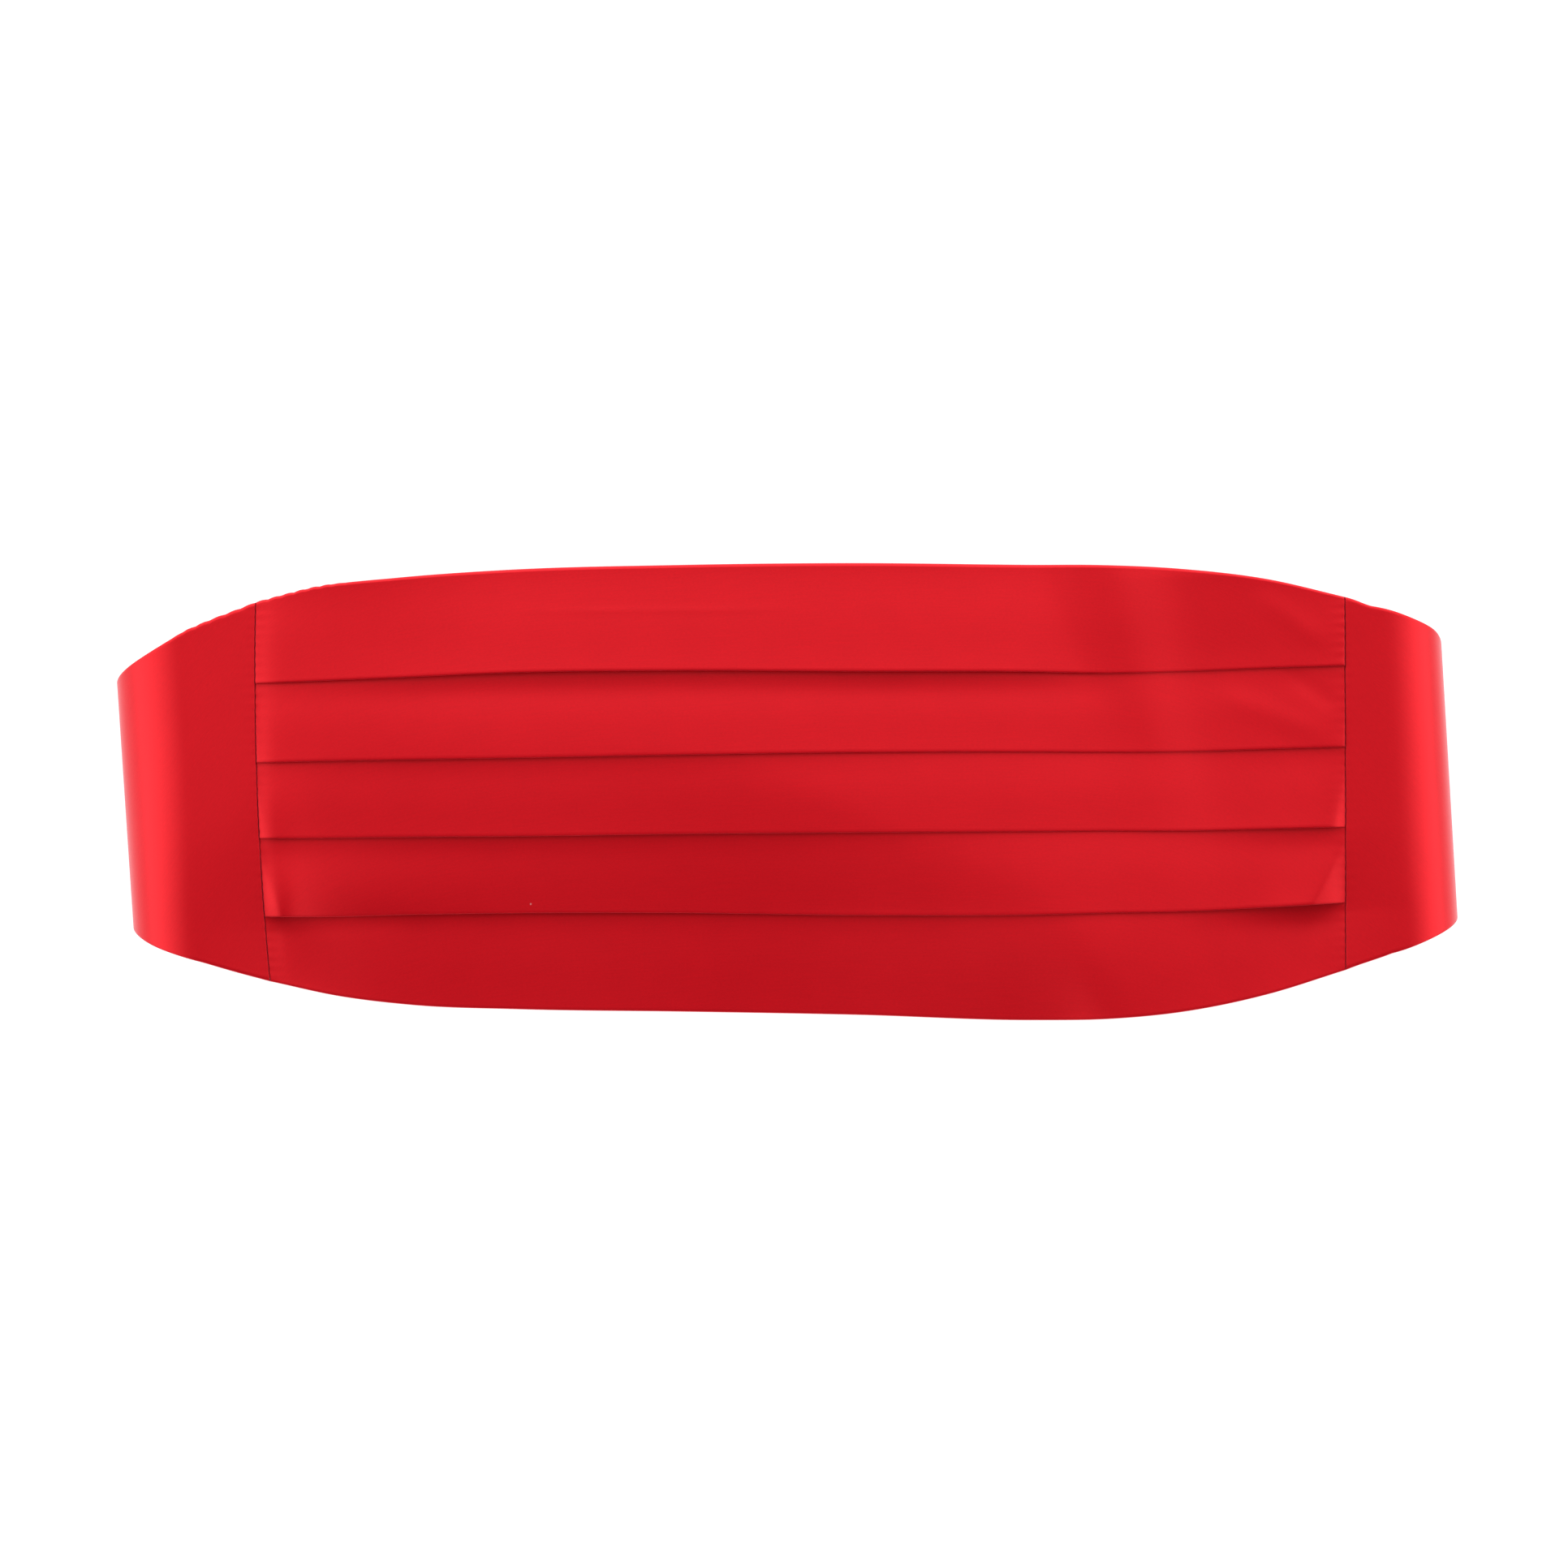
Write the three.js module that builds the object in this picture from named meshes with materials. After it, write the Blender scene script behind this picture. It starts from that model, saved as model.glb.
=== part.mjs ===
// Cummerbund: a front panel of satin with four long pleats, a plain end panel seamed to each
// side of it and bent round behind, and an elastic strap in two halves that a flat clasp joins.
// It lies fastened, front up, as a low loop that is open along its whole height.
// Millimetres: X runs along the waist, Y to the upper edge, Z out of the front.
import * as THREE from 'three';

// The loop as it lies
const LOOP_WIDTH = 371;
const LOOP_HEIGHT = 39;
const FRONT_SAG = 6;
const ARCH_SOFTNESS = 11;
const FOLD_SOFTNESS = 9;
const FOLD_SPREAD = 0.25;
const DIP_DEPTH = 0.45;

// The pleated front
const FRONT_LENGTH = 303;
const FRONT_HEIGHT = 127;
const FRONT_SHIFT = 4;
const BACK_WALL = 1.0;
const PLEAT_WALL = 1.0;
const PLEAT_DEPTH = 12;
const POCKET_GAP = 0.4;
const SEAM_REACH = 8;
const SEAM_PINCH = 0.25;

// The end panels and the strap
const PANEL_LENGTH = 104;
const PANEL_WALL = 2.0;
const STRAP_HEIGHT = 38;
const STRAP_WALL = 1.4;
const STRAP_TURN_BACK = 24;
const STRAP_RAMP = 6;

// The clasp
const CLASP_WALL = 1.5;
const CLASP_PLATE = 18;
const CLASP_BAR = 4;
const CLASP_SLOT = 4.5;
const CLASP_RAIL = 3;
const CLASP_CORNER = 2.5;

// Clearances between pieces
const SEAM_GAP = 0.3;
const BAR_CLEARANCE = 0.3;
const STRAP_SIDE_CLEARANCE = 0.5;

// Steps of the lofted cloth
const FRONT_STEPS = 30;
const PANEL_STEPS = 28;
const PANEL_LEVELS = 7;
const ARC_STEPS = 8;

// Edges and lips of the front, along it from the left seam, as shares of FRONT_HEIGHT
const FRONT_ROWS = [
  { along: 0.0, top: 0.439, lips: [0.261, 0.087, -0.079, -0.251], bottom: -0.393 },
  { along: 0.06, top: 0.472, lips: [0.264, 0.088, -0.081, -0.254], bottom: -0.428 },
  { along: 0.13, top: 0.488, lips: [0.268, 0.088, -0.082, -0.255], bottom: -0.452 },
  { along: 0.23, top: 0.501, lips: [0.274, 0.087, -0.085, -0.256], bottom: -0.466 },
  { along: 0.39, top: 0.505, lips: [0.272, 0.087, -0.087, -0.262], bottom: -0.479 },
  { along: 0.55, top: 0.502, lips: [0.263, 0.085, -0.091, -0.274], bottom: -0.493 },
  { along: 0.71, top: 0.491, lips: [0.256, 0.079, -0.096, -0.283], bottom: -0.511 },
  { along: 0.78, top: 0.487, lips: [0.252, 0.076, -0.098, -0.282], bottom: -0.511 },
  { along: 0.85, top: 0.475, lips: [0.252, 0.075, -0.101, -0.28], bottom: -0.498 },
  { along: 0.93, top: 0.448, lips: [0.254, 0.075, -0.1, -0.276], bottom: -0.462 },
  { along: 1.0, top: 0.406, lips: [0.255, 0.077, -0.099, -0.268], bottom: -0.413 },
];

// How far each lip stands open, as shares of PLEAT_WALL
const GAPE_ROWS = [
  { along: 0.0, lips: [0.0, 0.0, 0.0, 0.0] },
  { along: 0.12, lips: [0.9, 0.4, 0.6, 0.6] },
  { along: 0.4, lips: [1.3, 0.5, 0.7, 0.5] },
  { along: 0.7, lips: [0.9, 0.2, 0.2, 0.4] },
  { along: 0.85, lips: [0.2, 0.1, 0.2, 0.6] },
  { along: 0.95, lips: [0.2, 0.2, 0.5, 1.6] },
  { along: 1.0, lips: [0.0, 0.0, 0.0, 0.3] },
];

// The front falls to both long edges from a crest: the crest's height as a share of
// FRONT_HEIGHT, and the slopes above and below it, along the front from its middle
const ARCH_ROWS = [
  { along: -0.68, crest: 0.1, above: 0.0, below: 0.0 },
  { along: -0.56, crest: 0.1, above: 0.035, below: 0.035 },
  { along: -0.44, crest: 0.11, above: 0.036, below: 0.09 },
  { along: -0.25, crest: 0.126, above: 0.034, below: 0.1 },
  { along: -0.03, crest: 0.063, above: 0.034, below: 0.125 },
  { along: 0.09, crest: -0.07, above: 0.034, below: 0.12 },
  { along: 0.16, crest: -0.15, above: 0.042, below: 0.11 },
  { along: 0.24, crest: -0.31, above: 0.055, below: 0.1 },
  { along: 0.32, crest: -0.6, above: 0.05, below: 0.05 },
  { along: 0.4, crest: -0.6, above: 0.03, below: 0.03 },
  { along: 0.48, crest: -0.6, above: 0.015, below: 0.02 },
  { along: 0.56, crest: -0.6, above: 0.0, below: 0.0 },
  { along: 0.68, crest: -0.6, above: 0.0, below: 0.0 },
];

// A fold slants down across the right half, and the cloth above it lies flat: the fold's
// height as a share of FRONT_HEIGHT, along the front from its middle
const FOLD_ROWS = [
  { along: -0.7, height: 8.4 },
  { along: 0.1, height: 1.6 },
  { along: 0.2, height: 0.75 },
  { along: 0.234, height: 0.484 },
  { along: 0.267, height: 0.269 },
  { along: 0.334, height: 0.054 },
  { along: 0.38, height: -0.072 },
  { along: 0.45, height: -0.197 },
  { along: 0.5, height: -0.28 },
  { along: 0.7, height: -0.6 },
];

// A soft dip at the left: place and reach as shares of FRONT_LENGTH, and lean as sideways
// shift for each unit of height
const DIP = { place: -0.36, lean: 0.3, reach: 0.06 };

// Each side: lean and bow of its seam, lean of its bend, and how its panel narrows from the
// seam (1) to the strap (0), along PANEL_LENGTH, at its upper and its lower edge
const LEFT = {
  side: -1,
  seamLean: -0.022,
  seamBow: 0.065,
  bendLean: -0.0495,
  rows: [
    { along: 0.0, top: 1.0, bottom: 1.0 },
    { along: 0.1, top: 0.878, bottom: 0.9 },
    { along: 0.2, top: 0.744, bottom: 0.792 },
    { along: 0.3, top: 0.597, bottom: 0.678 },
    { along: 0.4, top: 0.472, bottom: 0.556 },
    { along: 0.5, top: 0.375, bottom: 0.455 },
    { along: 0.74, top: 0.13, bottom: 0.15 },
    { along: 0.9, top: 0.02, bottom: 0.02 },
    { along: 1.0, top: 0.0, bottom: 0.0 },
  ],
};
const RIGHT = {
  side: 1,
  seamLean: 0.016,
  seamBow: 0.0,
  bendLean: -0.04,
  rows: [
    { along: 0.0, top: 1.0, bottom: 1.0 },
    { along: 0.1, top: 0.915, bottom: 0.865 },
    { along: 0.2, top: 0.8, bottom: 0.745 },
    { along: 0.3, top: 0.69, bottom: 0.645 },
    { along: 0.4, top: 0.545, bottom: 0.56 },
    { along: 0.5, top: 0.44, bottom: 0.46 },
    { along: 0.74, top: 0.16, bottom: 0.17 },
    { along: 0.9, top: 0.02, bottom: 0.02 },
    { along: 1.0, top: 0.0, bottom: 0.0 },
  ],
};

// Sizes that follow from the named ones
const BEND_RADIUS = (LOOP_HEIGHT - PANEL_WALL) / 2;
const FLAT_HALF = (LOOP_WIDTH - PANEL_WALL) / 2 - BEND_RADIUS;
const BEND_LENGTH = Math.PI * BEND_RADIUS;

const SATIN = new THREE.MeshStandardMaterial({ color: 0xcc1a24, roughness: 0.45 });
const ELASTIC = new THREE.MeshStandardMaterial({ color: 0xa8141d, roughness: 0.85 });
const METAL = new THREE.MeshStandardMaterial({ color: 0xb9bcc0, roughness: 0.35, metalness: 1 });

function mix(from, to, share) {
  return from + (to - from) * share;
}

function smoothStep(from, to, value) {
  const share = Math.min(1, Math.max(0, (value - from) / (to - from)));
  return share * share * (3 - 2 * share);
}

// A smooth curve through a table's rows, read at one place along it
function readRows(rows, along, column) {
  const last = rows.length - 1;
  const at = (index) => column(rows[Math.min(last, Math.max(0, index))]);
  const place = (index) => rows[Math.min(last, Math.max(0, index))].along;
  let row = 0;
  while (row < last - 1 && rows[row + 1].along < along) {
    row += 1;
  }
  const step = place(row + 1) - place(row);
  const share = (along - place(row)) / step;
  const slope = (index) => (at(index + 1) - at(index - 1)) / (place(index + 1) - place(index - 1));
  const start = slope(row) * step;
  const end = slope(row + 1) * step;
  const rise = at(row + 1) - at(row);
  const bend = (start - rise) * (1 - share) - (end - rise) * share;
  return at(row) + rise * share + share * (1 - share) * bend;
}

// Distance round the loop from its middle to the seam on one side
function seamDistance(end) {
  return FRONT_LENGTH / 2 + end.side * FRONT_SHIFT;
}

// Sideways shift of the cloth at a height: lean is a share of the height, bow of its square
function sideShift(along, height) {
  const end = along < 0 ? LEFT : RIGHT;
  const distance = Math.abs(along);
  const seam = seamDistance(end);
  const bendStart = Math.max(FLAT_HALF, seam + SEAM_REACH);
  const bendEnd = Math.max(FLAT_HALF + BEND_LENGTH, bendStart);
  const reachesSeam = smoothStep(0, seam, distance);
  const reachesBend = smoothStep(seam, bendStart, distance);
  const leavesBend = smoothStep(bendEnd, Math.max(seam + PANEL_LENGTH, bendEnd + SEAM_REACH), distance);
  const lean = mix(end.seamLean * reachesSeam, end.bendLean, reachesBend) * (1 - leavesBend);
  const bow = end.seamBow * reachesSeam * (1 - reachesBend);
  return lean * height + bow * height * height / FRONT_HEIGHT;
}

// Place along the front from its middle, as the tables of its relief count it
function reliefPlace(along) {
  const edge = ARCH_ROWS[ARCH_ROWS.length - 1].along;
  return Math.min(edge, Math.max(-edge, (along - FRONT_SHIFT) / FRONT_LENGTH));
}

// The height, or that of the fold where it is lower, with a soft turn between the two
function belowFold(along, height) {
  const fold = FRONT_HEIGHT * readRows(FOLD_ROWS, reliefPlace(along), (r) => r.height);
  return (height + fold - Math.hypot(height - fold, FOLD_SOFTNESS)) / 2;
}

// Height that the front loses on either side of its crest
function archDrop(along, height) {
  const onFold = along + FOLD_SPREAD * (height - belowFold(along, height));
  const row = (column) => readRows(ARCH_ROWS, reliefPlace(onFold), column);
  const off = belowFold(onFold, height) - FRONT_HEIGHT * row((r) => r.crest);
  const slope = off > 0 ? row((r) => r.above) : row((r) => r.below);
  return slope * (Math.hypot(off, ARCH_SOFTNESS) - ARCH_SOFTNESS);
}

// Height that the front loses to its sag, to the slopes beside its crest and to the dip
function sinkAt(along, height) {
  const share = Math.min(1, Math.abs(along) / FLAT_HALF);
  const level = (1 - share * share) ** 2;
  const off = along - FRONT_SHIFT - DIP.place * FRONT_LENGTH - DIP.lean * height;
  const dip = DIP_DEPTH * Math.exp(-((off / (DIP.reach * FRONT_LENGTH)) ** 2)) * Math.sqrt(level);
  return FRONT_SAG * level + archDrop(along, height) + dip;
}

// A point of the cloth: distance round the loop from the middle of the front, height, and
// distance outward from the middle of the end panels' wall
function place(along, height, outward) {
  const side = along < 0 ? LEFT.side : RIGHT.side;
  const distance = Math.abs(along);
  const turn = Math.min(Math.PI, Math.max(0, distance - FLAT_HALF) / BEND_RADIUS);
  const behind = Math.max(0, distance - FLAT_HALF - BEND_LENGTH);
  const reach = Math.min(distance, FLAT_HALF) - behind + (BEND_RADIUS + outward) * Math.sin(turn);
  const level = LOOP_HEIGHT / 2 + (BEND_RADIUS + outward) * Math.cos(turn);
  const x = side * reach + sideShift(along, height);
  const frontShare = (1 + Math.cos(turn)) / 2;
  return new THREE.Vector3(x, height, level - frontShare * sinkAt(along, height));
}

// Cloth is thinner where a seam pulls it in
function seamThickness(distanceFromSeam) {
  return 1 - SEAM_PINCH * (1 - smoothStep(0, SEAM_REACH, distanceFromSeam));
}

// A closed body through sections that share one set of convex polygons
function loft(stations, polygons) {
  const size = stations[0].length;
  const lastStation = (stations.length - 1) * size;
  const triangles = [];
  const rim = new Map();
  for (const polygon of polygons) {
    for (let corner = 1; corner + 1 < polygon.length; corner += 1) {
      const fan = [polygon[0], polygon[corner], polygon[corner + 1]];
      triangles.push(fan[0], fan[2], fan[1]);
      triangles.push(...fan.map((index) => lastStation + index));
    }
    polygon.forEach((start, corner) => {
      const end = polygon[(corner + 1) % polygon.length];
      if (!rim.delete(`${end} ${start}`)) {
        rim.set(`${start} ${end}`, [start, end]);
      }
    });
  }
  for (const [start, end] of rim.values()) {
    for (let near = 0; near < lastStation; near += size) {
      const far = near + size;
      triangles.push(near + start, near + end, far + end);
      triangles.push(near + start, far + end, far + start);
    }
  }
  const geometry = new THREE.BufferGeometry().setFromPoints(stations.flat());
  geometry.setIndex(triangles);
  geometry.computeVertexNormals();
  return geometry;
}

// Points and polygons of one section, gathered from its upper edge to its lower one
class Section {
  constructor() {
    this.points = [];
    this.polygons = [];
  }

  point(height, outward) {
    this.points.push([height, outward]);
    return this.points.length - 1;
  }

  polygon(...corners) {
    this.polygons.push(corners);
  }

  // A rounded edge that closes a wall; direction is 1 at the upper edge and -1 at the lower
  edge(inner, outer, direction) {
    const [innerHeight, innerOut] = this.points[inner];
    const [outerHeight, outerOut] = this.points[outer];
    const wall = outerOut - innerOut;
    const nearInner = this.point(innerHeight + direction * 0.4 * wall, innerOut + 0.3 * wall);
    const nearOuter = this.point(outerHeight + direction * 0.4 * wall, innerOut + 0.7 * wall);
    if (direction > 0) {
      this.polygon(inner, nearInner, nearOuter, outer);
    } else {
      this.polygon(inner, outer, nearOuter, nearInner);
    }
  }
}

// One section of the front: a back wall with shingled bands, each ending in a lip whose pleat
// turns back under it and leaves a pocket
function frontSection(share) {
  const section = new Section();
  const row = (column) => FRONT_HEIGHT * readRows(FRONT_ROWS, share, column);
  const top = row((r) => r.top);
  const bottom = row((r) => r.bottom);
  const edgeWall = BACK_WALL + PLEAT_WALL;
  const round = 0.4 * edgeWall;
  let inner = section.point(top - round, 0);
  let face = section.point(top - round, edgeWall);
  section.edge(inner, face, 1);
  let bandTop = top - round;
  let bandOut = edgeWall;

  const lipCount = FRONT_ROWS[0].lips.length;
  for (let lip = 0; lip < lipCount; lip += 1) {
    const lipHeight = row((r) => r.lips[lip]);
    const nextHeight = lip + 1 < lipCount ? row((r) => r.lips[lip + 1]) : bottom + round;
    const floorRise = (POCKET_GAP + PLEAT_WALL) / (lipHeight - nextHeight);
    const pocketTop = lipHeight + PLEAT_DEPTH;
    const floorAtLip = BACK_WALL + floorRise * PLEAT_DEPTH;
    const lipOut = floorAtLip + POCKET_GAP + PLEAT_WALL;
    const outAt = (height) => mix(bandOut, lipOut, (bandTop - height) / (bandTop - lipHeight));
    const gape = PLEAT_WALL * readRows(GAPE_ROWS, share, (r) => r.lips[lip]);

    const middle = (bandTop + pocketTop) / 2;
    const innerMiddle = section.point(middle, 0);
    const faceMiddle = section.point(middle, outAt(middle));
    section.polygon(innerMiddle, inner, face, faceMiddle);

    const innerPocket = section.point(pocketTop, 0);
    const floor = section.point(pocketTop, BACK_WALL);
    const under = section.point(pocketTop, BACK_WALL + POCKET_GAP);
    const facePocket = section.point(pocketTop, outAt(pocketTop));
    section.polygon(innerMiddle, faceMiddle, facePocket, under, floor, innerPocket);

    const radius = PLEAT_WALL / 2;
    const lipUnder = section.point(lipHeight + radius, lipOut + gape - PLEAT_WALL);
    const lipFace = section.point(lipHeight + radius, lipOut + gape);
    section.polygon(lipUnder, under, facePocket, lipFace);
    const lipCurve = [1, 2].map((step) => {
      const angle = Math.PI / 2 + Math.PI * step / 3;
      return section.point(
        lipHeight + radius * (1 + Math.cos(angle)), lipOut + gape - radius * (1 - Math.sin(angle)));
    });
    section.polygon(lipUnder, lipFace, ...lipCurve);

    inner = section.point(lipHeight, 0);
    face = section.point(lipHeight, floorAtLip);
    section.polygon(inner, innerPocket, floor, face);
    bandTop = lipHeight;
    bandOut = floorAtLip;
  }

  const middle = mix(bandTop, bottom + round, 0.5);
  const innerMiddle = section.point(middle, 0);
  const faceMiddle = section.point(middle, mix(bandOut, edgeWall, 0.5));
  section.polygon(innerMiddle, inner, face, faceMiddle);
  const innerBottom = section.point(bottom + round, 0);
  const faceBottom = section.point(bottom + round, edgeWall);
  section.polygon(innerBottom, innerMiddle, faceMiddle, faceBottom);
  section.edge(innerBottom, faceBottom, -1);
  return section;
}

function pleatedFront() {
  const start = SEAM_GAP / 2 - seamDistance(LEFT);
  const end = seamDistance(RIGHT) - SEAM_GAP / 2;
  const shares = [SEAM_REACH / 2, SEAM_REACH].map((reach) => reach / FRONT_LENGTH);
  shares.push(...shares.map((share) => 1 - share));
  for (let step = 0; step <= FRONT_STEPS; step += 1) {
    shares.push(step / FRONT_STEPS);
  }
  shares.sort((first, second) => first - second);
  const stations = shares.map((share) => {
    const along = mix(start, end, share);
    const wall = seamThickness(Math.min(along - start, end - along));
    const points = frontSection(share).points;
    return points.map(([height, out]) => place(along, height, out * wall - PANEL_WALL / 2));
  });
  return loft(stations, frontSection(0).polygons);
}

// One section of an end panel: a plain wall between its two edges
function panelSection(top, bottom, wall) {
  const section = new Section();
  const inset = 0.4 * wall;
  let previous = null;
  for (let level = 0; level <= PANEL_LEVELS; level += 1) {
    const height = mix(top - inset, bottom + inset, level / PANEL_LEVELS);
    const inner = section.point(height, -wall / 2);
    const outer = section.point(height, wall / 2);
    if (previous === null) {
      section.edge(inner, outer, 1);
    } else {
      section.polygon(inner, previous[0], previous[1], outer);
    }
    previous = [inner, outer];
  }
  section.edge(previous[0], previous[1], -1);
  return section;
}

// The end panel carries on the front's two edges and narrows round the bend to the strap
function endPanel(end) {
  const seamRow = end.side < 0 ? FRONT_ROWS[0] : FRONT_ROWS[FRONT_ROWS.length - 1];
  const halfStrap = STRAP_HEIGHT / 2;
  const seam = seamDistance(end);
  const start = seam + SEAM_GAP / 2;
  const stations = [];
  let polygons = [];
  for (let step = 0; step <= PANEL_STEPS; step += 1) {
    const share = end.side < 0 ? 1 - step / PANEL_STEPS : step / PANEL_STEPS;
    const distance = mix(start, seam + PANEL_LENGTH, share);
    const top = mix(halfStrap, FRONT_HEIGHT * seamRow.top, readRows(end.rows, share, (r) => r.top));
    const bottom = mix(-halfStrap, FRONT_HEIGHT * seamRow.bottom,
      readRows(end.rows, share, (r) => r.bottom));
    const wall = PANEL_WALL * seamThickness(distance - start);
    const section = panelSection(top, bottom, wall);
    stations.push(section.points.map(([height, out]) => place(end.side * distance, height, out)));
    polygons = section.polygons;
  }
  return loft(stations, polygons);
}

// Half of the elastic strap: flat from the end panel to the clasp, turned back round the
// clasp's bar and sewn down on itself
function strap(end) {
  const barOuter = CLASP_PLATE / 2 + CLASP_SLOT + CLASP_BAR;
  const barInner = CLASP_PLATE / 2 + CLASP_SLOT;
  const panelEnd = place(end.side * (seamDistance(end) + PANEL_LENGTH), 0, 0);
  const start = Math.abs(panelEnd.x) - SEAM_GAP;
  const eyeHalf = CLASP_WALL / 2 + BAR_CLEARANCE;
  const eyeLevel = STRAP_WALL + eyeHalf;
  const loopRadius = eyeHalf + STRAP_WALL;
  const rampTop = barOuter + BAR_CLEARANCE;
  const rampFoot = rampTop + STRAP_RAMP;
  const turnX = barInner + BAR_CLEARANCE;

  const outline = new THREE.Shape();
  outline.moveTo(start, 0);
  outline.lineTo(start, STRAP_WALL);
  outline.lineTo(barOuter + STRAP_TURN_BACK, STRAP_WALL);
  outline.lineTo(barOuter + STRAP_TURN_BACK, 2 * STRAP_WALL);
  outline.lineTo(rampFoot, 2 * STRAP_WALL);
  outline.lineTo(rampTop, eyeLevel + loopRadius);
  outline.absarc(turnX, eyeLevel, loopRadius, Math.PI / 2, Math.PI * 1.5, false);
  const eye = new THREE.Path();
  eye.moveTo(rampFoot, STRAP_WALL);
  eye.lineTo(rampTop, eyeLevel + eyeHalf);
  eye.absarc(turnX, eyeLevel, eyeHalf, Math.PI / 2, Math.PI * 1.5, false);
  outline.holes.push(eye);

  const geometry = new THREE.ExtrudeGeometry(outline, {
    depth: STRAP_HEIGHT, bevelEnabled: false, curveSegments: ARC_STEPS,
  });
  geometry.translate(0, 0, -STRAP_HEIGHT / 2);
  geometry.rotateX(Math.PI / 2);
  if (end.side < 0) {
    geometry.rotateZ(Math.PI);
  }
  return geometry;
}

function roundedRectangle(path, centreX, width, height, corner) {
  const right = centreX + width / 2 - corner;
  const left = centreX - width / 2 + corner;
  const rise = height / 2 - corner;
  path.absarc(right, rise, corner, 0, Math.PI / 2, false);
  path.absarc(left, rise, corner, Math.PI / 2, Math.PI, false);
  path.absarc(left, -rise, corner, Math.PI, Math.PI * 1.5, false);
  path.absarc(right, -rise, corner, Math.PI * 1.5, Math.PI * 2, false);
  path.closePath();
  return path;
}

// A flat plate with a slot and a bar at each end for the strap halves
function clasp() {
  const length = CLASP_PLATE + 2 * (CLASP_SLOT + CLASP_BAR);
  const slotHeight = STRAP_HEIGHT + 2 * STRAP_SIDE_CLEARANCE;
  const plate = new THREE.Shape();
  roundedRectangle(plate, 0, length, slotHeight + 2 * CLASP_RAIL, CLASP_CORNER);
  for (const side of [LEFT.side, RIGHT.side]) {
    const centre = side * (CLASP_PLATE + CLASP_SLOT) / 2;
    plate.holes.push(roundedRectangle(new THREE.Path(), centre, CLASP_SLOT, slotHeight, CLASP_SLOT / 8));
  }
  const geometry = new THREE.ExtrudeGeometry(plate, {
    depth: CLASP_WALL, bevelEnabled: false, curveSegments: ARC_STEPS / 2,
  });
  geometry.translate(0, 0, STRAP_WALL + BAR_CLEARANCE);
  return geometry;
}

const cummerbund = new THREE.Group();
function addPiece(name, geometry, material) {
  const piece = new THREE.Mesh(geometry, material);
  piece.name = name;
  cummerbund.add(piece);
}

addPiece('pleated_front', pleatedFront(), SATIN);
addPiece('left_end_panel', endPanel(LEFT), SATIN);
addPiece('right_end_panel', endPanel(RIGHT), SATIN);
addPiece('left_strap', strap(LEFT), ELASTIC);
addPiece('right_strap', strap(RIGHT), ELASTIC);
addPiece('clasp', clasp(), METAL);

// The origin is the bottom centre of the whole part
const bounds = new THREE.Box3().setFromObject(cummerbund);
const centre = bounds.getCenter(new THREE.Vector3());
cummerbund.position.set(-centre.x, -centre.y, -bounds.min.z);

export default cummerbund;
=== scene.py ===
# %% [markdown]
# A satin cummerbund, lying fastened with its front up
#
# This lesson dresses a plain model of a cummerbund: a wide waist sash whose front panel has
# four long pleats. A plain end panel is seamed to each side of the front and bends round
# behind, where an elastic strap in two halves meets at a small flat clasp.
#
# The plain model fixes every size and place, so it is loaded first.

# %% Load the plain model
import math

import bpy
import numpy as np
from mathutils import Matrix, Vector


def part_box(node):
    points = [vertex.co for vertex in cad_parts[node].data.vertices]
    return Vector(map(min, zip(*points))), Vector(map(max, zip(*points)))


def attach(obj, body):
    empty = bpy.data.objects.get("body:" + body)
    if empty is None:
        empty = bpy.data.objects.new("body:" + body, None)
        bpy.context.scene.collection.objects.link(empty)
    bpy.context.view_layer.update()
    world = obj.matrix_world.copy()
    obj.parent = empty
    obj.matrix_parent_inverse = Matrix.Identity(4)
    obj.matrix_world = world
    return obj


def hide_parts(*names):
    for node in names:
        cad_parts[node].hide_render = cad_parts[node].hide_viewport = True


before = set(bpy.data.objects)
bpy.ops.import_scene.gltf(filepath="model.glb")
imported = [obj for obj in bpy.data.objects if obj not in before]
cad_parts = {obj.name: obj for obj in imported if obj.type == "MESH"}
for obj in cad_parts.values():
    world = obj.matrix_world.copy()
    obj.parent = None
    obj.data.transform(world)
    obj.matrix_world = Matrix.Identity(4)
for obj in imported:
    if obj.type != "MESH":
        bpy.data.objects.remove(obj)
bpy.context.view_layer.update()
scene = bpy.context.scene
print("plain pieces:", sorted(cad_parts))

# %% [markdown]
# Sizes are real sizes in metres. What the plain model already holds is read from its pieces'
# boxes: how tall the loop lies, the middle of the clasp, and the strap. The loop's width and
# the cloth's own sizes, such as how deep a pleat turns back, are named here.

# %% Sizes of the loop and of the cloth
MM = 0.001
clasp_low, clasp_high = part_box("clasp")
panel_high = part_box("left_end_panel")[1]
strap_low, strap_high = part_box("left_strap")
MIDDLE_X = (clasp_low.x + clasp_high.x) / 2
MIDDLE_Y = (clasp_low.y + clasp_high.y) / 2
LOOP_WIDTH = 371 * MM
LOOP_HEIGHT = panel_high.z
FRONT_LENGTH = 303 * MM
FRONT_HEIGHT = 127 * MM
FRONT_SHIFT = 4 * MM
FRONT_SAG = 6 * MM
BACK_WALL = 1.0 * MM
PLEAT_WALL = 0.8 * MM
PLEAT_DEPTH = 12 * MM
POCKET_GAP = 0.25 * MM
PANEL_WALL = 2.0 * MM
PANEL_LENGTH = 104 * MM
SEAM_GAP = 0.02 * MM
STRAP_HEIGHT = strap_high.y - strap_low.y
STRAP_WALL = 1.4 * MM

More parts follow.
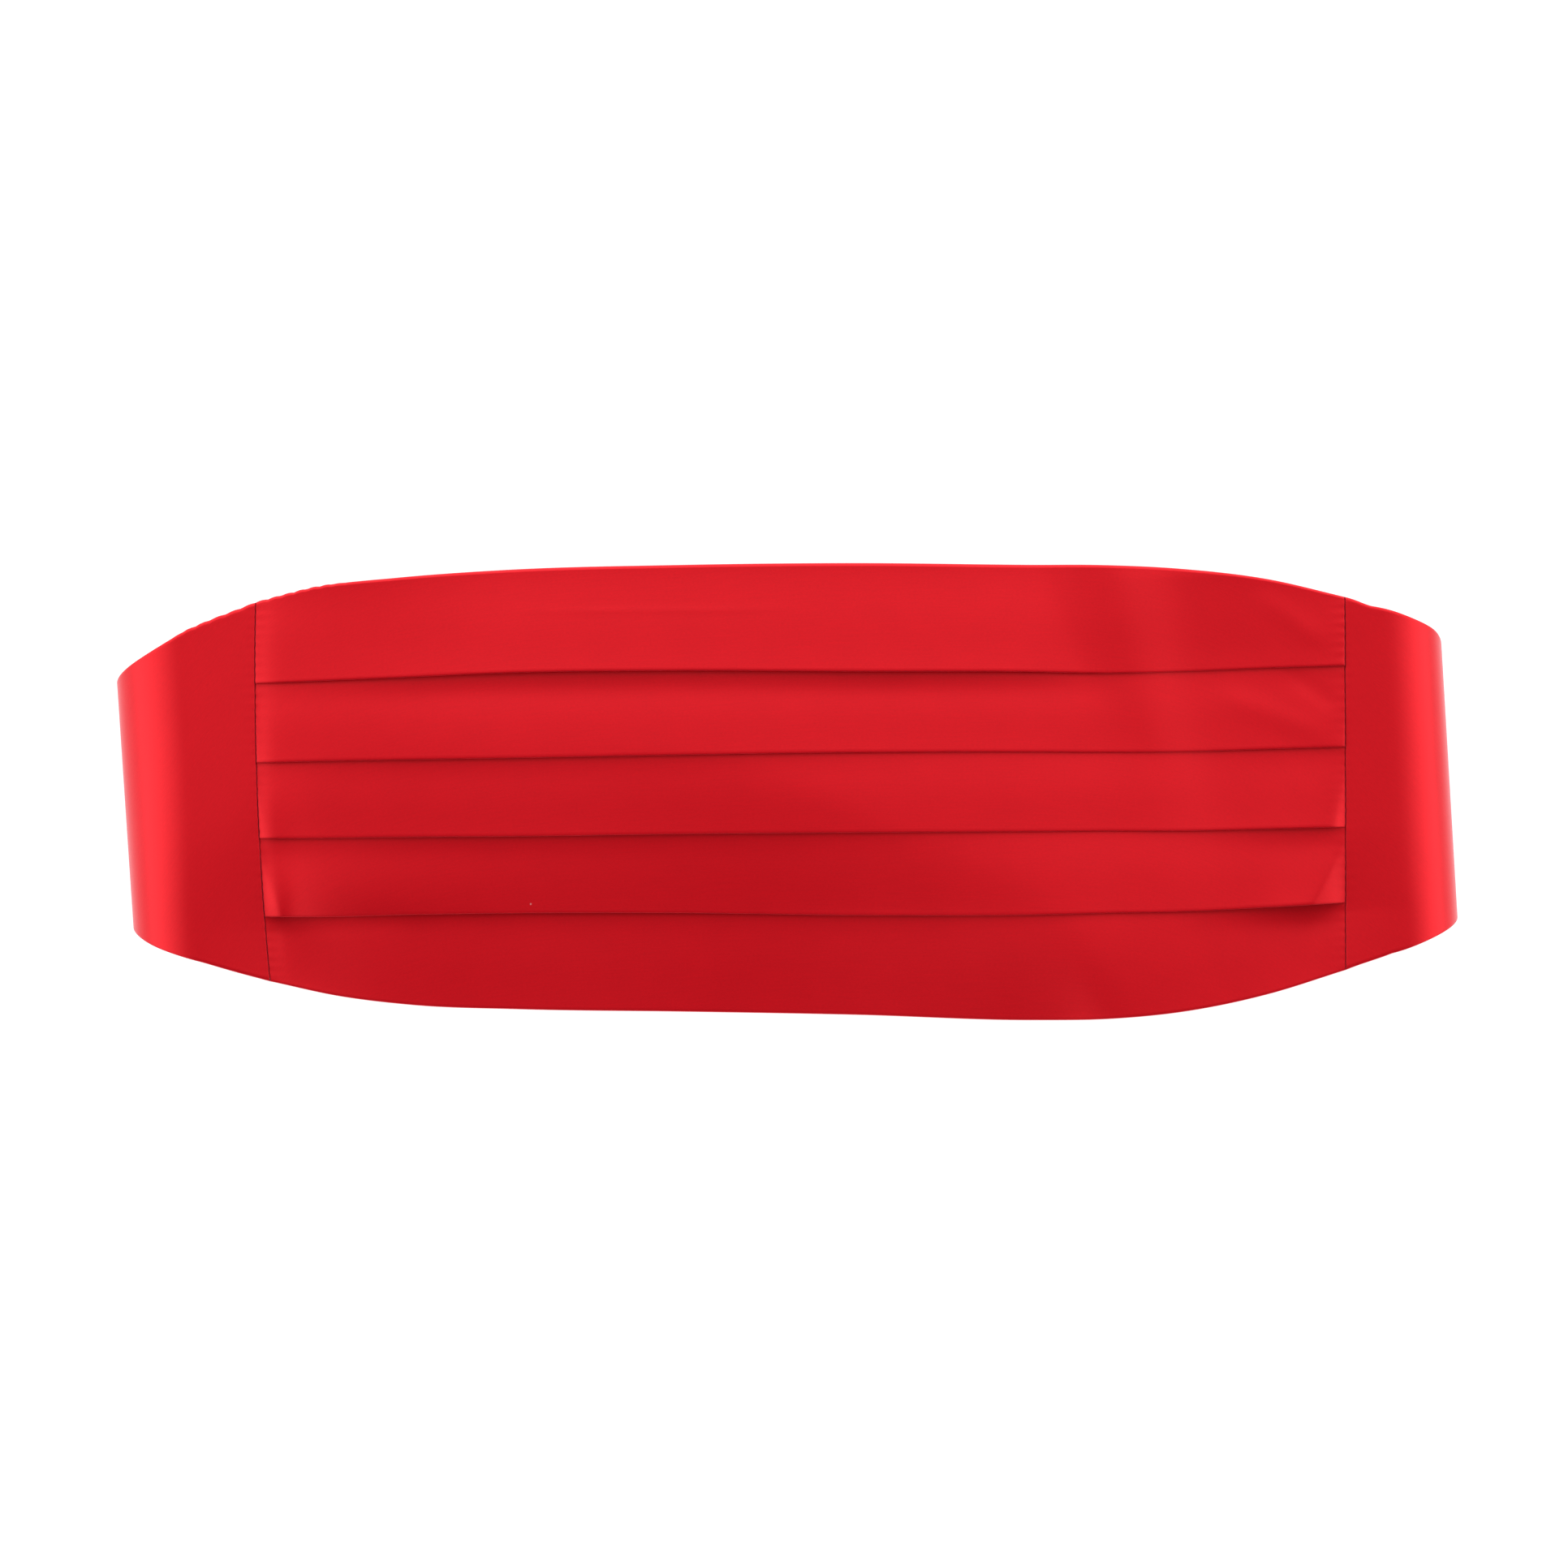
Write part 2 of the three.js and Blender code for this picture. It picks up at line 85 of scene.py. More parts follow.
BEND_RADIUS = (LOOP_HEIGHT - PANEL_WALL) / 2
FLAT_HALF = (LOOP_WIDTH - PANEL_WALL) / 2 - BEND_RADIUS
BEND_LENGTH = math.pi * BEND_RADIUS
print(f"loop {LOOP_WIDTH / MM:.0f} x {LOOP_HEIGHT / MM:.0f} mm, bend radius {BEND_RADIUS / MM:.1f} mm")

# %% [markdown]
# The front isn't a rectangle. Its two long edges curve, and its four pleat lips run almost
# straight between them. A short table gives them along the panel, from the left seam to the
# right one, as shares of the front's height. A second table says how far each lip stands
# open, in thicknesses of the folded cloth, because the photo shows dark gaps under the first
# lip and at the right end of the last one. Below zero a lip is pressed flat.

# %% Tables of the front
FRONT_ROWS = {
    "along": [0.0, 0.06, 0.13, 0.23, 0.39, 0.55, 0.71, 0.78, 0.85, 0.93, 1.0],
    "top": [0.439, 0.472, 0.488, 0.501, 0.505, 0.502, 0.491, 0.487, 0.475, 0.448, 0.406],
    "lip_1": [0.261, 0.264, 0.268, 0.274, 0.272, 0.263, 0.255, 0.249, 0.249, 0.253, 0.255],
    "lip_2": [0.087, 0.088, 0.088, 0.087, 0.087, 0.085, 0.079, 0.075, 0.073, 0.075, 0.077],
    "lip_3": [-0.079, -0.081, -0.082, -0.085, -0.087, -0.091, -0.096, -0.098, -0.101, -0.1, -0.099],
    "lip_4": [-0.251, -0.254, -0.253, -0.254, -0.261, -0.273, -0.279, -0.278, -0.278, -0.272, -0.265],
    "bottom": [-0.393, -0.428, -0.452, -0.466, -0.479, -0.493, -0.511, -0.511, -0.498, -0.462, -0.413],
}
GAPE_ROWS = {
    "along": [0.0, 0.02, 0.045, 0.15, 0.3, 0.45, 0.6, 0.72, 0.8, 0.86, 0.92, 0.96, 1.0],
    "lip_1": [0.2, 0.2, 0.3, 1.1, 1.4, 1.3, 1.4, 0.9, 0.0, 0.0, 0.1, 0.2, 0.2],
    "lip_2": [0.2, 0.2, 0.2, 0.4, 0.4, 0.3, 0.0, -0.2, -0.25, -0.1, 0.2, 0.2, 0.2],
    "lip_3": [0.6, 0.4, 0.2, 0.5, 0.6, 0.4, 0.1, -0.2, -0.25, 0.1, 0.6, 0.9, 0.9],
    "lip_4": [1.6, 1.4, 0.3, 0.3, 0.3, 0.2, 0.2, 0.0, -0.1, 0.2, 1.4, 2.8, 3.0],
}
LIPS = ["lip_1", "lip_2", "lip_3", "lip_4"]

# %% [markdown]
# Between its rows a table is read along a smooth curve. The slope at each row comes from its
# two neighbours, so the edges have no corners.

# %% Reading a table, and a smooth step
def read_rows(rows, column, along):
    places = np.array(rows["along"])
    values = np.array(rows[column])
    slopes = np.gradient(values, places)
    row = np.clip(np.searchsorted(places, along, side="right") - 1, 0, len(places) - 2)
    step = places[row + 1] - places[row]
    share = (along - places[row]) / step
    rise = values[row + 1] - values[row]
    start_bend = slopes[row] * step - rise
    end_bend = slopes[row + 1] * step - rise
    bend = start_bend * (1 - share) - end_bend * share
    return values[row] + rise * share + share * (1 - share) * bend


def mix(start, end, share):
    return start + (end - start) * share


def smooth_step(start, end, value):
    share = np.clip((value - start) / (end - start), 0, 1)
    return share * share * (3 - 2 * share)


def hump(value, centre, width):
    return np.exp(-(((value - centre) / width) ** 2))


middle_share = read_rows(FRONT_ROWS, "top", 0.5) - read_rows(FRONT_ROWS, "bottom", 0.5)
print(f"front height at its middle: {FRONT_HEIGHT / MM * middle_share:.1f} mm")

# %% [markdown]
# Each side has its own seam and bend. The cloth leans a little to one side as it goes up, so
# the two folded ends aren't quite parallel to the seams. A bend is round at a squareness of
# 2, and turns later and tighter above that. Puffs say how far the pleats' layers are pressed
# at the seam. The last table of each side says how its panel narrows from the seam, 1, to the
# strap, 0.

# %% The two sides
LEFT = {
    "side": -1,
    "seam_lean": -0.022,
    "seam_bow": 0.065,
    "bend_lean": -0.0495,
    "square_low": 2.15,
    "square_high": 1.88,
    "puff_low": 0.8 * MM,
    "puff_high": 0.6 * MM,
    "puff_width": 3.5 * MM,
    "rows": {
        "along": [0.0, 0.1, 0.2, 0.3, 0.4, 0.5, 0.74, 0.9, 1.0],
        "top": [1.0, 0.878, 0.744, 0.597, 0.472, 0.375, 0.13, 0.02, 0.0],
        "bottom": [1.0, 0.9, 0.792, 0.678, 0.556, 0.455, 0.15, 0.02, 0.0],
    },
}
RIGHT = {
    "side": 1,
    "seam_lean": 0.016,
    "seam_bow": 0.0,
    "bend_lean": -0.04,
    "square_low": 2.55,
    "square_high": 2.6,
    "puff_low": 0.8 * MM,
    "puff_high": 0.2 * MM,
    "puff_width": 3 * MM,
    "rows": {
        "along": [0.0, 0.1, 0.2, 0.3, 0.4, 0.5, 0.74, 0.9, 1.0],
        "top": [1.0, 0.915, 0.8, 0.69, 0.545, 0.44, 0.16, 0.02, 0.0],
        "bottom": [1.0, 0.865, 0.745, 0.645, 0.56, 0.46, 0.17, 0.02, 0.0],
    },
}


def seam_distance(end):
    return FRONT_LENGTH / 2 + end["side"] * FRONT_SHIFT


print("seams at", -seam_distance(LEFT) / MM, "and", seam_distance(RIGHT) / MM, "mm")

# %% [markdown]
# Cloth that lies relaxed is never flat, and satin shows every slope of it. The relief below
# is what the photo shows. The front sags a little between the bends, and falls to both of its
# long edges from a crest. A table gives the crest along the front, and the slopes above and
# below it. A second table gives a slanting fold: above it, toward the right seam, the slope
# stops and the cloth lies flat.

# %% The crest and the slanting fold
ARCH_SOFTNESS = 11 * MM
FOLD_SOFTNESS = 9 * MM
FOLD_SPREAD = 0.25
ARCH_ROWS = {
    "along": [-0.68, -0.56, -0.44, -0.25, -0.03, 0.09, 0.16, 0.24, 0.32, 0.4, 0.48, 0.56, 0.68],
    "crest": [-0.15, -0.12, 0.1, 0.126, 0.063, -0.07, -0.15, -0.31, -0.6, -0.6, -0.6, -0.6, -0.6],
    "above": [0.02, 0.05, 0.038, 0.034, 0.034, 0.034, 0.042, 0.055, 0.05, 0.03, 0.015, 0.0, 0.0],
    "below": [0.0, 0.035, 0.09, 0.1, 0.125, 0.12, 0.11, 0.1, 0.05, 0.03, 0.02, 0.0, 0.0],
}
FOLD_ROWS = {
    "along": [-0.7, 0.1, 0.2, 0.234, 0.267, 0.334, 0.38, 0.45, 0.5, 0.7],
    "height": [8.4, 1.6, 0.75, 0.484, 0.269, 0.054, -0.072, -0.197, -0.28, -0.6],
}


def below_fold(along, height):
    """The height, or that of the fold where it is lower, with a soft turn between the two."""
    share = np.clip((along - FRONT_SHIFT) / FRONT_LENGTH, -0.68, 0.68)
    fold = FRONT_HEIGHT * read_rows(FOLD_ROWS, "height", share)
    return share, (height + fold - np.sqrt((height - fold) ** 2 + FOLD_SOFTNESS ** 2)) / 2


def arch_drop(along, height):
    share, reached = below_fold(along, height)
    share, reached = below_fold(along + FOLD_SPREAD * (height - reached), height)
    off = reached - FRONT_HEIGHT * read_rows(ARCH_ROWS, "crest", share)
    above = read_rows(ARCH_ROWS, "above", share)
    below = read_rows(ARCH_ROWS, "below", share)
    return np.where(off > 0, above, below) * (np.sqrt(off * off + ARCH_SOFTNESS ** 2) - ARCH_SOFTNESS)


print(f"fall at the upper edge's middle: {arch_drop(np.array(0.0), 60 * MM) / MM:.1f} mm")

# %% [markdown]
# Smaller marks lie on top of it. One table lists places where the cloth sinks toward one of
# its long edges, or rises where the depth is below zero. Another lists faint creases, and
# there is one soft dip at the left. Each seam holds the cloth down, so that beside it the front
# swells up, and fine puckers run along it. A table for each side gives that swell along the
# seam, so its first column holds shares of the front's height. All of the relief is added to
# every layer alike, so no layer cuts another.

# %% Tables of the smaller marks
SWELL_FADE = 55 * MM
TIE_CURVE = 1.5
SINKS = {
    "along": [0.150, -0.150, -0.040, 0.082, -0.118, 0.118],
    "reach_left": [0.028, 0.014, 0.088, 0.034, 0.024, 0.026],
    "reach_right": [0.014, 0.014, 0.088, 0.034, 0.024, 0.036],
    "flatness": [2, 2, 4, 2, 2, 2],
    "height_start": [-0.0127, -0.0127, -0.0120, -0.0400, 0.0420, 0.0360],
    "height_end": [-0.0355, -0.0355, -0.0330, -0.0640, 0.0640, 0.0580],
    "growth": [1.5, 1.5, 1.15, 1.6, 1.6, 1.6],
    "depth": [0.0017, 0.0004, 0.0012, 0.0014, -0.0008, -0.0009],
}
SWELL_ROWS = {
    LEFT["side"]: {
        "along": [-0.6, -0.31, -0.265, -0.24, -0.1, 0.09, 0.25, 0.42, 0.6],
        "rise": [0.0, 0.0, 0.2, 0.9, 1.0, 0.75, 0.8, 0.6, 0.5],
        "width": [4.0, 4.0, 4.2, 4.2, 3.8, 4.0, 5.0, 5.0, 5.0],
    },
    RIGHT["side"]: {
        "along": [-0.6, -0.34, -0.285, -0.25, -0.1, 0.09, 0.25, 0.42, 0.6],
        "rise": [0.0, 0.0, 0.2, 0.3, 0.4, 0.3, 0.2, 0.2, 0.2],
        "width": [6.0, 6.0, 6.0, 6.0, 6.0, 3.0, 3.0, 3.0, 3.0],
    },
}
PUCKER_PITCH = 2.9 * MM
PUCKER_HEIGHT = 0.04 * MM
PUCKER_REACH = 2.2 * MM
PUCKER_WANDER = 1.5
PUCKER_WANDER_REACH = 7 * MM
DIP = {"place": -0.36, "lean": 0.3, "reach": 18 * MM, "depth": 0.45 * MM}
CREASES = {
    "along_start": [-0.076, 0.131, 0.139, 0.118],
    "height_start": [0.052, 0.053, 0.032, 0.026],
    "along_end": [0.006, 0.150, 0.154, 0.152],
    "height_end": [0.051, 0.038, 0.020, 0.012],
    "width": [0.0010, 0.0032, 0.0028, 0.0036],
    "rise": [0.00003, 0.00022, -0.0002, 0.00022],
}
print(len(SINKS["depth"]), "sinks and", len(CREASES["rise"]), "creases")


# %% Creases and the whole relief
def crease_rise(along, height):
    rise = 0.0
    for row in range(len(CREASES["rise"])):
        crease = {name: CREASES[name][row] for name in CREASES}
        run = crease["along_end"] - crease["along_start"]
        climb = crease["height_end"] - crease["height_start"]
        length = math.hypot(run, climb)
        from_start = along - crease["along_start"]
        above_start = height - crease["height_start"]
        share = (from_start * run + above_start * climb) / length ** 2
        off = (above_start * run - from_start * climb) / length
        tapered = smooth_step(-0.1, 0.3, share) * (1 - smooth_step(0.7, 1.1, share))
        rise = rise + crease["rise"] * tapered * hump(off, 0, crease["width"])
    return rise


def relief(along, height):
    share = np.clip(np.abs(along) / FLAT_HALF, 0, 1)
    level = (1 - share * share) ** 2
    rise = -FRONT_SAG * level
    rise = rise - arch_drop(along, height)
    off = along - FRONT_SHIFT - DIP["place"] * FRONT_LENGTH - DIP["lean"] * height
    rise = rise - DIP["depth"] * hump(off, 0, DIP["reach"]) * np.sqrt(level)
    for row in range(len(SINKS["along"])):
        sink = {name: SINKS[name][row] for name in SINKS}
        share_down = (height - sink["height_start"]) / (sink["height_end"] - sink["height_start"])
        sunk = np.clip(share_down, 0, 1) ** sink["growth"]
        reach = np.where(along < sink["along"], sink["reach_left"], sink["reach_right"])
        across = np.exp(-(np.abs((along - sink["along"]) / reach) ** sink["flatness"]))
        rise = rise - sink["depth"] * sunk * across
    for end in (LEFT, RIGHT):
        inside = np.maximum(0, seam_distance(end) - end["side"] * along)
        rows = SWELL_ROWS[end["side"]]
        width = MM * read_rows(rows, "width", height / FRONT_HEIGHT)
        away = 1 - np.exp(-((inside / width) ** TIE_CURVE))
        swell = MM * read_rows(rows, "rise", height / FRONT_HEIGHT) * away
        rise = rise + swell * hump(inside, 0, SWELL_FADE)
        from_seam = np.abs(along - end["side"] * seam_distance(end))
        wander = PUCKER_WANDER * np.sin(height / PUCKER_WANDER_REACH)
        wave = np.sin(2 * math.pi * height / PUCKER_PITCH + wander)
        rise = rise + PUCKER_HEIGHT * wave * np.exp(-from_seam / PUCKER_REACH)
    return rise + crease_rise(along, height)


print(f"relief at the middle: {relief(np.array(0.0), np.array(0.0)) / MM:.1f} mm")

# %% [markdown]
# Every piece of cloth is drawn in the cloth's own terms: how far along the loop, how high, and
# how far out of the wall's middle. One function then lays such a point on the loop, which runs
# flat across the front, round a bend, and back along the table.

# %% Laying cloth on the loop
WAVER = 0.06 * MM
BEND_CLEARANCE = 8 * MM
LOW_SHARE = -0.25
HIGH_SHARE = 0.2


def side_shift(along, height):
    shift = np.zeros(np.broadcast(along, height).shape)
    for end in (LEFT, RIGHT):
        here = np.sign(along) == end["side"]
        distance = np.abs(along)
        seam = seam_distance(end)
        bend_start = max(FLAT_HALF, seam + BEND_CLEARANCE)
        bend_end = FLAT_HALF + BEND_LENGTH
        reaches_seam = smooth_step(0, seam, distance)
        reaches_bend = smooth_step(seam, bend_start, distance)
        leaves_bend = smooth_step(bend_end, seam + PANEL_LENGTH, distance)
        lean = mix(end["seam_lean"] * reaches_seam, end["bend_lean"], reaches_bend) * (1 - leaves_bend)
        bow = end["seam_bow"] * reaches_seam * (1 - reaches_bend)
        near_seam = np.exp(-np.abs(distance - seam) / PUCKER_REACH)
        waver = WAVER * np.sin(2 * math.pi * height / PUCKER_PITCH) * near_seam
        slant = lean * height + bow * height * height / FRONT_HEIGHT
        shift = shift + np.where(here, slant + waver, 0)
    return shift


def place(along, height, outward):
    side = np.where(along < 0, -1, 1)
    distance = np.abs(along)
    turn = np.clip((distance - FLAT_HALF) / BEND_RADIUS, 0, math.pi)
    behind = np.maximum(0, distance - FLAT_HALF - BEND_LENGTH)
    low = np.where(along < 0, LEFT["square_low"], RIGHT["square_low"])
    high = np.where(along < 0, LEFT["square_high"], RIGHT["square_high"])
    power = 2 / mix(low, high, smooth_step(LOW_SHARE, HIGH_SHARE, height / FRONT_HEIGHT))
    out_share = np.abs(np.sin(turn)) ** power
    up_share = np.sign(np.cos(turn)) * np.abs(np.cos(turn)) ** power
    reach = np.minimum(distance, FLAT_HALF) - behind + (BEND_RADIUS + outward) * out_share
    level = LOOP_HEIGHT / 2 + (BEND_RADIUS + outward) * up_share
    front_share = (1 + np.cos(turn)) / 2
    x = MIDDLE_X + side * reach + side_shift(along, height)
    y = MIDDLE_Y + height
    z = level + relief(along, height) * front_share
    return np.stack(np.broadcast_arrays(x, y, z), axis=-1)


right_bend = place(np.array(FLAT_HALF + BEND_LENGTH / 2), 0.0, PANEL_WALL / 2)
print("outermost point of the right bend (mm):", right_bend / MM)

# %% [markdown]
# A piece of cloth is a closed skin: many rings, one behind the other along the waist, joined
# by quads, with its two ends closed. Its UV map is the cloth itself in metres, along and
# across, so that a weave follows every fold.

# %% A closed skin through rings
def skin_object(name, along, heights, outwards):
    rings, ring_size = heights.shape
    points = place(along[:, None], heights, outwards)
    vertices = points.reshape(-1, 3)
    near = np.arange(rings - 1)[:, None] * ring_size
    here = np.arange(ring_size)[None, :]
    following = (here + 1) % ring_size
    quads = np.stack([near + here, near + following,
                      near + ring_size + following, near + ring_size + here], axis=-1).reshape(-1, 4)
    caps = [np.arange(ring_size)[::-1].tolist(),
            (np.arange(ring_size) + (rings - 1) * ring_size).tolist()]
    mesh = bpy.data.meshes.new(name)
    mesh.from_pydata(vertices.tolist(), [], quads.tolist() + caps)

    steps = np.linalg.norm(np.diff(points, axis=1, append=points[:, :1]), axis=2)
    across = np.concatenate([np.zeros((rings, 1)), np.cumsum(steps, axis=1)], axis=1)
    quad_ring = np.repeat(np.arange(rings - 1), ring_size)
    quad_place = np.tile(np.arange(ring_size), rings - 1)
    corners = [(0, 0), (0, 1), (1, 1), (1, 0)]
    uv = np.zeros((len(quads), 4, 2))
    for corner, (ring_step, place_step) in enumerate(corners):
        uv[:, corner, 0] = along[quad_ring + ring_step]
        uv[:, corner, 1] = across[quad_ring + ring_step, quad_place + place_step]
    cap_uv = np.zeros((2 * ring_size, 2))
    all_uv = np.concatenate([uv.reshape(-1, 2), cap_uv])
    layer = mesh.uv_layers.new(name="cloth")
    layer.data.foreach_set("uv", all_uv.ravel())
    mesh.polygons.foreach_set("use_smooth", [True] * len(quads) + [False] * 2)
    mesh.validate()
    mesh.update()
    piece = bpy.data.objects.new(name, mesh)
    scene.collection.objects.link(piece)
    print(f"{name}: {rings} rings of {ring_size}, {2 * len(quads)} triangles")
    return piece


# %% [markdown]
# The pleated front is one long skin. Seen from the end, its section goes up the plain back,
# over the upper edge, and down the front. Each band ends in a lip: there the cloth folds under,
# runs back up for a pleat's depth, turns again and comes down as the next band. A section is
# made of short stretches, and each of them is an array with a row for each place along the
# panel, so that the whole front is worked out at once.

# %% The front's places along the waist
SEAM_STEPS = np.array([0, 0.12, 0.18, 0.2, 0.22, 0.4, 0.7, 1.1]) * MM
FINE_STEP = 0.8 * MM
FRONT_STEP = 1.7 * MM
FINE_REACH_LEFT = 34 * MM
FINE_REACH_RIGHT = 14 * MM


def places_between(start, end, fine_start, fine_end):
    first = start + SEAM_STEPS[-1]
    last = end - SEAM_STEPS[-1]
    places = [start + SEAM_STEPS,
              np.arange(first + FINE_STEP, start + fine_start, FINE_STEP),
              np.arange(start + fine_start, end - fine_end, FRONT_STEP),
              np.arange(end - fine_end, last - FINE_STEP / 2, FINE_STEP),
              end - SEAM_STEPS[::-1]]
    return np.concatenate(places)


front_start = SEAM_GAP / 2 - seam_distance(LEFT)
front_end = seam_distance(RIGHT) - SEAM_GAP / 2
front_along = places_between(front_start, front_end, FINE_REACH_LEFT, FINE_REACH_RIGHT)
front_share = (front_along - front_start) / (front_end - front_start)
print("places along the front:", len(front_along))

# %% Stretches of a section
def column(values, count=1):
    return np.repeat(np.asarray(values)[:, None], count, axis=1)


def stretch(start, end, steps):
    """Steps from start up to, but not onto, end, for each place along the panel."""
    share = np.arange(steps)[None, :] / steps
    return mix(column(start), column(end), share)


def round_edge(height, inner, outer, depth, steps, direction):
    """A half round from the inner face to the outer one, at an edge."""
    angle = np.pi * np.arange(1, steps)[None, :] / steps
    heights = column(height) + direction * depth * np.sin(angle)
    outs = mix(column(inner), column(outer), (1 - np.cos(angle)) / 2)
    return heights, outs


# %% The front's section
EDGE_WALL = BACK_WALL + PLEAT_WALL
EDGE_ROUND = 0.35 * MM
LIP_SINK = 0.5
LIP_SWELL = 0.55
SWELL_REACH = 3.6 * MM
LIP_RADIUS = PLEAT_WALL / 2
BAND_PILLOW = 0.12 * MM
PUFF_START = 0.35
SEAM_SLOPE = 0.25
TIE_SOFTNESS = 0.12 * MM
FULL_LAYERS = 2.9 * MM
GROOVE_DEPTH = 0.45
GROOVE_WIDTH = 0.2 * MM
SCALLOP_PITCH = 3.6 * MM
SCALLOP_HEIGHT = 0.28 * MM
SCALLOP_STARTS = (-172 * MM, -164 * MM)
SCALLOP_ENDS = (-132 * MM, -118 * MM)
LIFT_CURVE = 1.5
PUFF_CURVE = 1.5
PUFF_LOW_SHARE = -0.12
PUFF_HIGH_SHARE = 0.1
BACK_STEPS = 60
FIRST_BAND_STEPS = 47
BAND_STEPS = 31
LAST_BAND_STEPS = 40
FOLD_STEPS = 8


def scallops(along):
    """Small bumps that the hem's stitches draw in the upper edge beside the left seam."""
    reach = smooth_step(*SCALLOP_STARTS, along) * (1 - smooth_step(*SCALLOP_ENDS, along))
    return SCALLOP_HEIGHT * reach * np.abs(np.sin(np.pi * along / SCALLOP_PITCH))


def lifted_by(gape, lifted, inside):
    """How far a gaping lip lifts the cloth; toward a seam the rise ends in a plain slope."""
    free = column(gape) * lifted
    tied = column(SEAM_SLOPE * inside)
    return (free + tied - np.sqrt((free - tied) ** 2 + TIE_SOFTNESS ** 2) + TIE_SOFTNESS) / 2


def front_section(share, along):
    inside = np.minimum(along - along[0], along[-1] - along)
    edges = ["top", "bottom"] + LIPS
    rows = {name: FRONT_HEIGHT * read_rows(FRONT_ROWS, name, share) for name in edges}
    gape = {name: PLEAT_WALL * read_rows(GAPE_ROWS, name, share) for name in LIPS}
    top = rows["top"] + scallops(along) - EDGE_ROUND
    bottom = rows["bottom"] + EDGE_ROUND
    level = np.zeros_like(share)
    parts = [(stretch(bottom, top, BACK_STEPS), column(level, BACK_STEPS), column(level, BACK_STEPS))]
    parts.append((column(top), column(level), column(level)))
    turned = round_edge(top, level, level + EDGE_WALL, EDGE_ROUND, FOLD_STEPS, 1)
    parts.append((*turned, column(level, FOLD_STEPS - 1) + PUFF_START))

    band_top = top
    band_out = level + EDGE_WALL
    band_swell = level
    for number, name in enumerate(LIPS):
        lip = rows[name]
        below = rows[LIPS[number + 1]] if number + 1 < len(LIPS) else bottom
        floor_rise = (POCKET_GAP + PLEAT_WALL) / (lip - below)
        pocket_top = lip + PLEAT_DEPTH
        floor_at_lip = BACK_WALL + floor_rise * PLEAT_DEPTH
        lip_out = floor_at_lip + POCKET_GAP + PLEAT_WALL
        face_end = lip + LIP_RADIUS

        heights = stretch(band_top, face_end, FIRST_BAND_STEPS if number == 0 else BAND_STEPS)
        down = (column(band_top) - heights) / column(band_top - face_end)
        puff = mix(PUFF_START, 1.0, down)
        lifted = np.clip(down, 0, 1) ** LIFT_CURVE
        pillow = BAND_PILLOW * np.sin(np.pi * down) ** 2
        outs = mix(column(band_out), column(lip_out), down) + pillow
        outs = outs + lifted_by(gape[name], lifted, inside)
        outs = outs + column(band_swell) * hump(heights, column(band_top), SWELL_REACH)
        parts.append((heights, outs, puff))

        angle = np.pi * np.arange(FOLD_STEPS)[None, :] / FOLD_STEPS
        lip_lift = lifted_by(gape[name], np.ones((len(along), 1)), inside)
        parts.append((column(face_end) - LIP_RADIUS * np.sin(angle),
                      column(lip_out - LIP_RADIUS) + lip_lift + LIP_RADIUS * np.cos(angle),
                      column(level, FOLD_STEPS) + 1.0))

        heights = stretch(face_end, pocket_top, FOLD_STEPS)
        lifted = (column(pocket_top) - heights) / column(pocket_top - face_end)
        flat = mix(column(lip_out - PLEAT_WALL), BACK_WALL + POCKET_GAP,
                   (heights - column(face_end)) / column(pocket_top - face_end))
        puff = mix(PUFF_START, 1.0, (column(band_top) - heights) / column(band_top - face_end))
        parts.append((heights, flat + lifted_by(gape[name], lifted, inside), puff))
        pocket_puff = puff[:, -1:]
        parts.append((column(pocket_top), column(level + BACK_WALL + POCKET_GAP), pocket_puff))

        opened = np.maximum(0, lip_lift[:, 0])
        band_swell = LIP_SWELL * opened
        sunk_floor = floor_at_lip - LIP_SINK * opened
        floor_heights = stretch(pocket_top, lip, FOLD_STEPS)
        puff = mix(PUFF_START, 1.0, (column(band_top) - floor_heights) / column(band_top - face_end))
        share_down = np.arange(FOLD_STEPS)[None, :] / FOLD_STEPS
        floor_outs = stretch(level + BACK_WALL, sunk_floor, FOLD_STEPS)
        floor_outs = floor_outs + column(band_swell) * share_down ** 2
        parts.append((floor_heights, floor_outs, puff))
        band_top = lip
        band_out = sunk_floor

    heights = stretch(band_top, bottom, LAST_BAND_STEPS)
    down = (column(band_top) - heights) / column(band_top - bottom)
    outs = mix(column(band_out), EDGE_WALL, down) + BAND_PILLOW * np.sin(np.pi * down) ** 2
    outs = outs + column(band_swell) * hump(heights, column(band_top), SWELL_REACH)
    parts.append((heights, outs, mix(PUFF_START, 0.0, down)))
    parts.append((column(bottom), column(level + EDGE_WALL), column(level)))
    turned = round_edge(bottom, level + EDGE_WALL, level, EDGE_ROUND, FOLD_STEPS, -1)
    parts.append((*turned, column(level, FOLD_STEPS - 1)))
    heights = np.concatenate([part[0] for part in parts], axis=1)
    outs = np.concatenate([part[1] for part in parts], axis=1)
    puffs = np.concatenate([part[2] for part in parts], axis=1)
    return heights, outs, puffs


def groove(from_seam):
    """The narrow groove of a seam, as a share of the cloth's thickness that is left."""
    return 1 - GROOVE_DEPTH * np.clip(1 - from_seam / GROOVE_WIDTH, 0, 1)


def puffed(along, heights, puffs):
    """What is left of the layers' thickness where the seam draws the pleats in."""
    kept = 1.0
    for end in (LEFT, RIGHT):
        from_seam = column(np.abs(along - end["side"] * seam_distance(end)))
        higher = smooth_step(PUFF_LOW_SHARE, PUFF_HIGH_SHARE, heights / FRONT_HEIGHT)
        drop = mix(end["puff_low"], end["puff_high"], higher)
        near_seam = np.exp(-((from_seam / end["puff_width"]) ** PUFF_CURVE))
        kept = kept - puffs * drop / FULL_LAYERS * near_seam
    return kept


